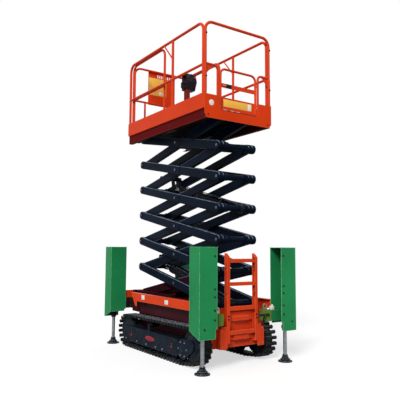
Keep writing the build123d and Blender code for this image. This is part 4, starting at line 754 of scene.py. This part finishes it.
bm = bmesh.new()
turned(bm, ROUNDEL_AT, FORWARD, ROUNDEL, steps=32)
finished("blank_roundel", bm, WHITE, "platform")
bm = bmesh.new()
for y, z in FRONT_BOLTS:
    hex_bolt(bm, (PANEL_FACE_X, y, z), FORWARD, PANEL_BOLT_ACROSS)
for side in HANDS.values():
    for x in SIDE_BOLT_XS:
        hex_bolt(bm, (x, side * SIDE_BOLT_Y, SIDE_BOLT_Z), (0, side, 0), PANEL_BOLT_ACROSS)
finished("panel_bolts", bm, WHEEL, "platform")
bm = bmesh.new()
for side in HANDS.values():
    for z in HOOP_PIN_ZS:
        turned(bm, (HOOP_X + HOOP_PIN_SEAT, side * RAIL_Y, z), FORWARD, HOOP_PIN, steps=16)
finished("hoop_pins", bm, PLASTIC, "platform")

# Weld beads where the posts meet the floor and where the middle rails meet the posts
FLOOR_Z = foot_height("guardrail_right")
MIDDLE_RAIL_Z = 3.768
RAIL_POSTS = ((1.012, 0.019), (-1.001, 0.019), (0.270, 0.018))
FLOOR_BEADS = [
    *((x, RAIL_Y, radius) for x, radius in RAIL_POSTS), (HOOP_X, RAIL_Y, 0.019), (HOOP_X, 0.334, 0.016),
]
# What lies inside the tube
HIDDEN = 0.001
FLOOR_BEAD = [(-HIDDEN, 0.0), (0.006, 0.0), (0.0035, 0.0035), (0.0, 0.006), (-HIDDEN, 0.006), (-HIDDEN, 0.0)]
POST_BEAD = [(-HIDDEN, -0.021), (0.002, -0.021), (0.003, -0.018), (-HIDDEN, -0.015), (-HIDDEN, -0.021)]


def weld_bead(bm, at, radius, outline):
    """A ring of weld round a tube, its outline given from the tube's surface."""
    turned(bm, at, UP, [(radius + out, height) for out, height in outline])


bm = bmesh.new()
for side in HANDS.values():
    for x, y, radius in FLOOR_BEADS:
        weld_bead(bm, (x, side * y, FLOOR_Z), radius, FLOOR_BEAD)
    for x, radius in RAIL_POSTS:
        weld_bead(bm, (x, side * RAIL_Y, MIDDLE_RAIL_Z), radius, POST_BEAD)
finished("rail_weld_beads", bm, ORANGE, "platform")

# Gate opening: black strips along its foot and up one side, painted shade in the gap round the gate, and
# white strips under the gate, painted highlights on the sill
GAP_SHADE_THICKNESS = 0.002
GAP_SHADE_YS_AND_ZS = (((-0.292, 0.280), (3.196, 3.203)), ((-0.292, -0.286), (3.203, 3.365)))
STRIP_STARTS = (-0.262, -0.150, -0.055)
STRIP_LENGTH = 0.062
STRIP_ZS = (3.204, 3.209)

bm = bmesh.new()
for ys, zs in GAP_SHADE_YS_AND_ZS:
    plate_on_front(bm, PANEL_FACE_X, ys, zs, GAP_SHADE_THICKNESS, rim=0.0006)
finished("gate_gap_painted_shade", bm, PLASTIC, "platform")
# White strips: painted highlights on the sill under the gate
bm = bmesh.new()
for y in STRIP_STARTS:
    plate_on_front(bm, PANEL_FACE_X, (y, y + STRIP_LENGTH), STRIP_ZS, SIGN_THICKNESS, rim=0.0005)
finished("gate_sill_painted_highlights", bm, WHITE, "platform")

# Gate: a yellow blank plate with a white blank patch, and a black slide latch on the flat bar
GATE_FACE_X = far_corner("gate_sheets").x
GATE_PLATE_FACE_X = GATE_FACE_X + SIGN_THICKNESS
GATE_PLATE_YS = (-0.245, 0.220)
GATE_PLATE_ZS = (3.256, 3.352)
GATE_PATCH_YS = (0.158, 0.214)
GATE_PATCH_ZS = (3.262, 3.346)
GATE_PATCH_THICKNESS = 0.001
LATCH_CASE_YS = (-0.205, -0.128)
LATCH_CASE_ZS = (3.506, 3.554)
LATCH_CASE_THICKNESS = 0.014
LATCH_Z = sum(LATCH_CASE_ZS) / 2
LATCH_KNOB_Y = -0.150
LATCH_KNOB = [(0.009, 0.0), (0.009, 0.008), (0.015, 0.012), (0.015, 0.020), (0.010, 0.025), (0, 0.025)]
LATCH_BOLT = [(0.006, 0.0), (0.006, 0.052), (0.004, 0.055), (0, 0.055)]

bm = bmesh.new()
plate_on_front(bm, GATE_FACE_X, GATE_PLATE_YS, GATE_PLATE_ZS, SIGN_THICKNESS)
finished("blank_gate_plate", bm, YELLOW, "gate")
bm = bmesh.new()
plate_on_front(bm, GATE_PLATE_FACE_X, GATE_PATCH_YS, GATE_PATCH_ZS, GATE_PATCH_THICKNESS, rim=0.0004)
finished("blank_gate_patch", bm, WHITE, "gate")
bm = bmesh.new()
plate_on_front(bm, GATE_FACE_X, LATCH_CASE_YS, LATCH_CASE_ZS, LATCH_CASE_THICKNESS, rim=0.004)
turned(bm, (GATE_FACE_X + LATCH_CASE_THICKNESS, LATCH_KNOB_Y, LATCH_Z), FORWARD, LATCH_KNOB, steps=18)
finished("gate_latch_case", bm, PLASTIC, "gate")
bm = bmesh.new()
bolt_from = (GATE_FACE_X + LATCH_CASE_THICKNESS / 2, LATCH_CASE_YS[0], LATCH_Z)
turned(bm, bolt_from, -LEFT_TO_RIGHT, LATCH_BOLT, steps=14)
finished("gate_latch_bolt", bm, ZINC, "gate")

# Rear panel: a yellow blank sign with its screws and two blank white roundels
REAR_PANEL_FACE_X = far_corner("rear_panel").x
REAR_SIGN_FACE_X = REAR_PANEL_FACE_X + SIGN_THICKNESS
REAR_SIGN_YS = (-0.226, 0.100)
REAR_SIGN_ZS = (3.920, 4.205)
SIGN_SCREW_INSET = 0.012
SIGN_SCREW_RADIUS = 0.006
SMALL_ROUNDEL_YS = (-0.010, 0.062)
SMALL_ROUNDEL_Z = 3.962
SMALL_ROUNDEL = [(0, 0.0), (0.030, 0.0), (0.030, 0.0006), (0.029, 0.001), (0, 0.001)]

bm = bmesh.new()
plate_on_front(bm, REAR_PANEL_FACE_X, REAR_SIGN_YS, REAR_SIGN_ZS, SIGN_THICKNESS)
finished("blank_rear_sign", bm, YELLOW, "extension")
bm = bmesh.new()
for y in SMALL_ROUNDEL_YS:
    turned(bm, (REAR_SIGN_FACE_X, y, SMALL_ROUNDEL_Z), FORWARD, SMALL_ROUNDEL, steps=28)
finished("blank_rear_roundels", bm, WHITE, "extension")
bm = bmesh.new()
for y in (REAR_SIGN_YS[0] + SIGN_SCREW_INSET, REAR_SIGN_YS[1] - SIGN_SCREW_INSET):
    for z in (REAR_SIGN_ZS[0] + SIGN_SCREW_INSET, REAR_SIGN_ZS[1] - SIGN_SCREW_INSET):
        pan_screw(bm, (REAR_SIGN_FACE_X, y, z), FORWARD, SIGN_SCREW_RADIUS)
finished("rear_sign_screws", bm, ZINC, "extension")

# Control box: lever, switches, keys and stop button on its sloping face, bolts at the post's foot
FACE_CENTRE = Vector((-0.536, 0.315, 4.180))
SLOPE = Vector((130.0, 0.0, 42.0)).normalized()
UP_SLOPE = SLOPE.cross(LEFT_TO_RIGHT)
LEVER = [
    (0.026, 0.0), (0.026, 0.003), (0.022, 0.007), (0.019, 0.010), (0.015, 0.012), (0.013, 0.016),
    (0.009, 0.018), (0.006, 0.020), (0.006, 0.052), (0.012, 0.058), (0.014, 0.068), (0.012, 0.078),
    (0, 0.080),
]
SWITCH = [(0.009, 0.0), (0.009, 0.003), (0.006, 0.004), (0.003, 0.005), (0.0035, 0.018), (0, 0.019)]
KEY = [(0.010, 0.0), (0.010, 0.002), (0.008, 0.004), (0.008, 0.006), (0, 0.006)]
STOP_BUTTON = [(0.012, 0.0), (0.012, 0.010), (0.019, 0.012), (0.019, 0.018), (0.014, 0.022), (0, 0.023)]
STOP_BUTTON_AT = (0.056, -0.002)
# Outline, facets round it, how far up the slope it sits, and its places across the face
CONTROLS = (
    (LEVER, 20, 0.0, (-0.045,)),
    (SWITCH, 12, 0.034, (0.000, 0.028)),
    (KEY, 14, -0.040, (-0.030, 0.010, 0.050)),
)
POST_BOLT_XS = (-0.65, -0.55)
POST_BOLT_YS = (0.22, 0.32)
POST_FOOT_THICKNESS = 0.006
POST_BOLT_ACROSS = 0.014


def on_face(across, up_slope):
    """A point on the box's sloping face, from its centre."""
    return FACE_CENTRE + LEFT_TO_RIGHT * across + UP_SLOPE * up_slope


bm = bmesh.new()
for outline, steps, up_slope, places in CONTROLS:
    for across in places:
        turned(bm, on_face(across, up_slope), SLOPE, outline, steps)
finished("control_lever_and_switches", bm, PLASTIC, "extension")
bm = bmesh.new()
turned(bm, on_face(*STOP_BUTTON_AT), SLOPE, STOP_BUTTON, steps=22)
finished("stop_button", bm, RED_PLASTIC, "extension")
bm = bmesh.new()
for x in POST_BOLT_XS:
    for y in POST_BOLT_YS:
        hex_bolt(bm, (x, y, foot_height("control_post") + POST_FOOT_THICKNESS), UP, POST_BOLT_ACROSS)
finished("post_foot_bolts", bm, ZINC, "extension")

# Floor tread: low lozenges pressed in rows, turned alternately left and right
TREAD_PITCH = 0.045
LOZENGE = (0.014, 0.0045, 0.0012)
MAIN_FLOOR_XS = (0.10, 1.03)
MAIN_FLOOR_HALF_WIDTH = 0.49
ROLL_OUT_XS = (-0.98, 0.03)
ROLL_OUT_HALF_WIDTH = 0.44


def lozenge_tread(name, body, xs, half_width, floor):
    """Raised lozenges over a floor, as one joined mesh."""
    bm = bmesh.new()
    rows = int((xs[1] - xs[0]) / TREAD_PITCH) + 1
    columns = int(2 * half_width / TREAD_PITCH) + 1
    for row in range(rows):
        for column in range(columns):
            at = (xs[0] + row * TREAD_PITCH, column * TREAD_PITCH - half_width, floor + LOZENGE[2] / 2)
            lean = Matrix.Rotation(math.radians(45 if (row + column) % 2 else -45), 4, "Z")
            bmesh.ops.create_cone(
                bm, cap_ends=True, segments=6, radius1=1.0, radius2=0.6, depth=1.0,
                matrix=Matrix.Translation(at) @ lean @ Matrix.Diagonal((*LOZENGE, 1.0)),
            )
    finished(name, bm, ORANGE, body)


lozenge_tread("main_floor_tread", "platform", MAIN_FLOOR_XS, MAIN_FLOOR_HALF_WIDTH, FLOOR_Z)
lozenge_tread("roll_out_deck_tread", "extension", ROLL_OUT_XS, ROLL_OUT_HALF_WIDTH,
              foot_height("extension_rails"))

# Camera where the photograph was taken, at eye level and looking a little up
CAMERA_AT = Vector((6.2028, -4.1249, 1.4442))
YAW, PITCH, ROLL = (math.radians(angle) for angle in (34.418, 5.40, 0.33))
FOCAL_LENGTH_MM = 46.38
SENSOR_WIDTH_MM = 36.0
FARTHEST_SEEN = 200.0

ahead = Vector((-math.cos(YAW) * math.cos(PITCH), math.sin(YAW) * math.cos(PITCH), math.sin(PITCH)))
level_right = ahead.cross(UP).normalized()
level_up = level_right.cross(ahead)
right = math.cos(ROLL) * level_right + math.sin(ROLL) * level_up
up = -math.sin(ROLL) * level_right + math.cos(ROLL) * level_up
lens = bpy.data.cameras.new("studio_camera")
lens.lens = FOCAL_LENGTH_MM
lens.sensor_width = SENSOR_WIDTH_MM
lens.sensor_fit = "HORIZONTAL"
lens.clip_end = FARTHEST_SEEN
camera = bpy.data.objects.new("studio_camera", lens)
camera.matrix_world = Matrix.Translation(CAMERA_AT) @ Matrix((right, up, -ahead)).transposed().to_4x4()
bpy.context.scene.collection.objects.link(camera)
bpy.context.scene.camera = camera

# Soft sun from the front left
SUN_STRENGTH = 2.6
SUN_SPREAD = math.radians(20)
SUN_FROM = Vector((0.6, -0.75, 0.7))
SUN_HEIGHT = 6.0

sun_light = bpy.data.lights.new("soft_sun", "SUN")
sun_light.energy = SUN_STRENGTH
sun_light.angle = SUN_SPREAD
sun = bpy.data.objects.new("soft_sun", sun_light)
sun.matrix_world = facing(UP * SUN_HEIGHT, SUN_FROM)
bpy.context.scene.collection.objects.link(sun)

# White studio: the world is plain white where it is seen or mirrored, and dimmer where it only lights
SKY_LIGHT = 0.42

world = bpy.data.worlds.new("white_studio")
bpy.context.scene.world = world
world.use_nodes = True
sky = world.node_tree
sky.nodes.clear()
ray = add(sky, "ShaderNodeLightPath", output=None)
seen = ray["Is Camera Ray"]
for other in ("Is Glossy Ray", "Is Transmission Ray"):
    seen = add(sky, "ShaderNodeMath", {0: seen, 1: ray[other]}, operation="MAXIMUM")
brightness = add(sky, "ShaderNodeMapRange", {"Value": seen, "To Min": SKY_LIGHT, "To Max": 1.0})
backdrop = add(sky, "ShaderNodeBackground", {"Color": linear("#FFFFFF"), "Strength": brightness})
add(sky, "ShaderNodeOutputWorld", {0: backdrop}, None)

# Pale floor that keeps the shadow and looks white to the camera
FLOOR_HALF_WIDTH = 30.0
FLOOR_SPECK_MM = 333.3
FLOOR_GLOW = 0.60

floor_paint, tree, place = new_surface("pale_studio_floor")
speck = clouds(tree, place, FLOOR_SPECK_MM, low=0.3, high=0.7)
matt = add(tree, "ShaderNodeBsdfDiffuse", {"Color": layered(tree, linear("#BCBCBC"), (speck, "#B8B8B8"))})
camera_ray = add(tree, "ShaderNodeLightPath", output="Is Camera Ray")
glow_strength = add(tree, "ShaderNodeMath", {0: camera_ray, 1: FLOOR_GLOW}, operation="MULTIPLY")
glow = add(tree, "ShaderNodeEmission", {"Strength": glow_strength})
both = add(tree, "ShaderNodeAddShader", {0: matt, 1: glow})
add(tree, "ShaderNodeOutputMaterial", {0: both}, None)

bm = bmesh.new()
bmesh.ops.create_grid(bm, x_segments=2, y_segments=2, size=FLOOR_HALF_WIDTH)
floor_mesh = bpy.data.meshes.new("studio_floor")
bm.to_mesh(floor_mesh)
bm.free()
floor_mesh.materials.append(floor_paint)
floor = bpy.data.objects.new("studio_floor", floor_mesh)
bpy.context.scene.collection.objects.link(floor)

bpy.context.scene.view_settings.view_transform = "Standard"
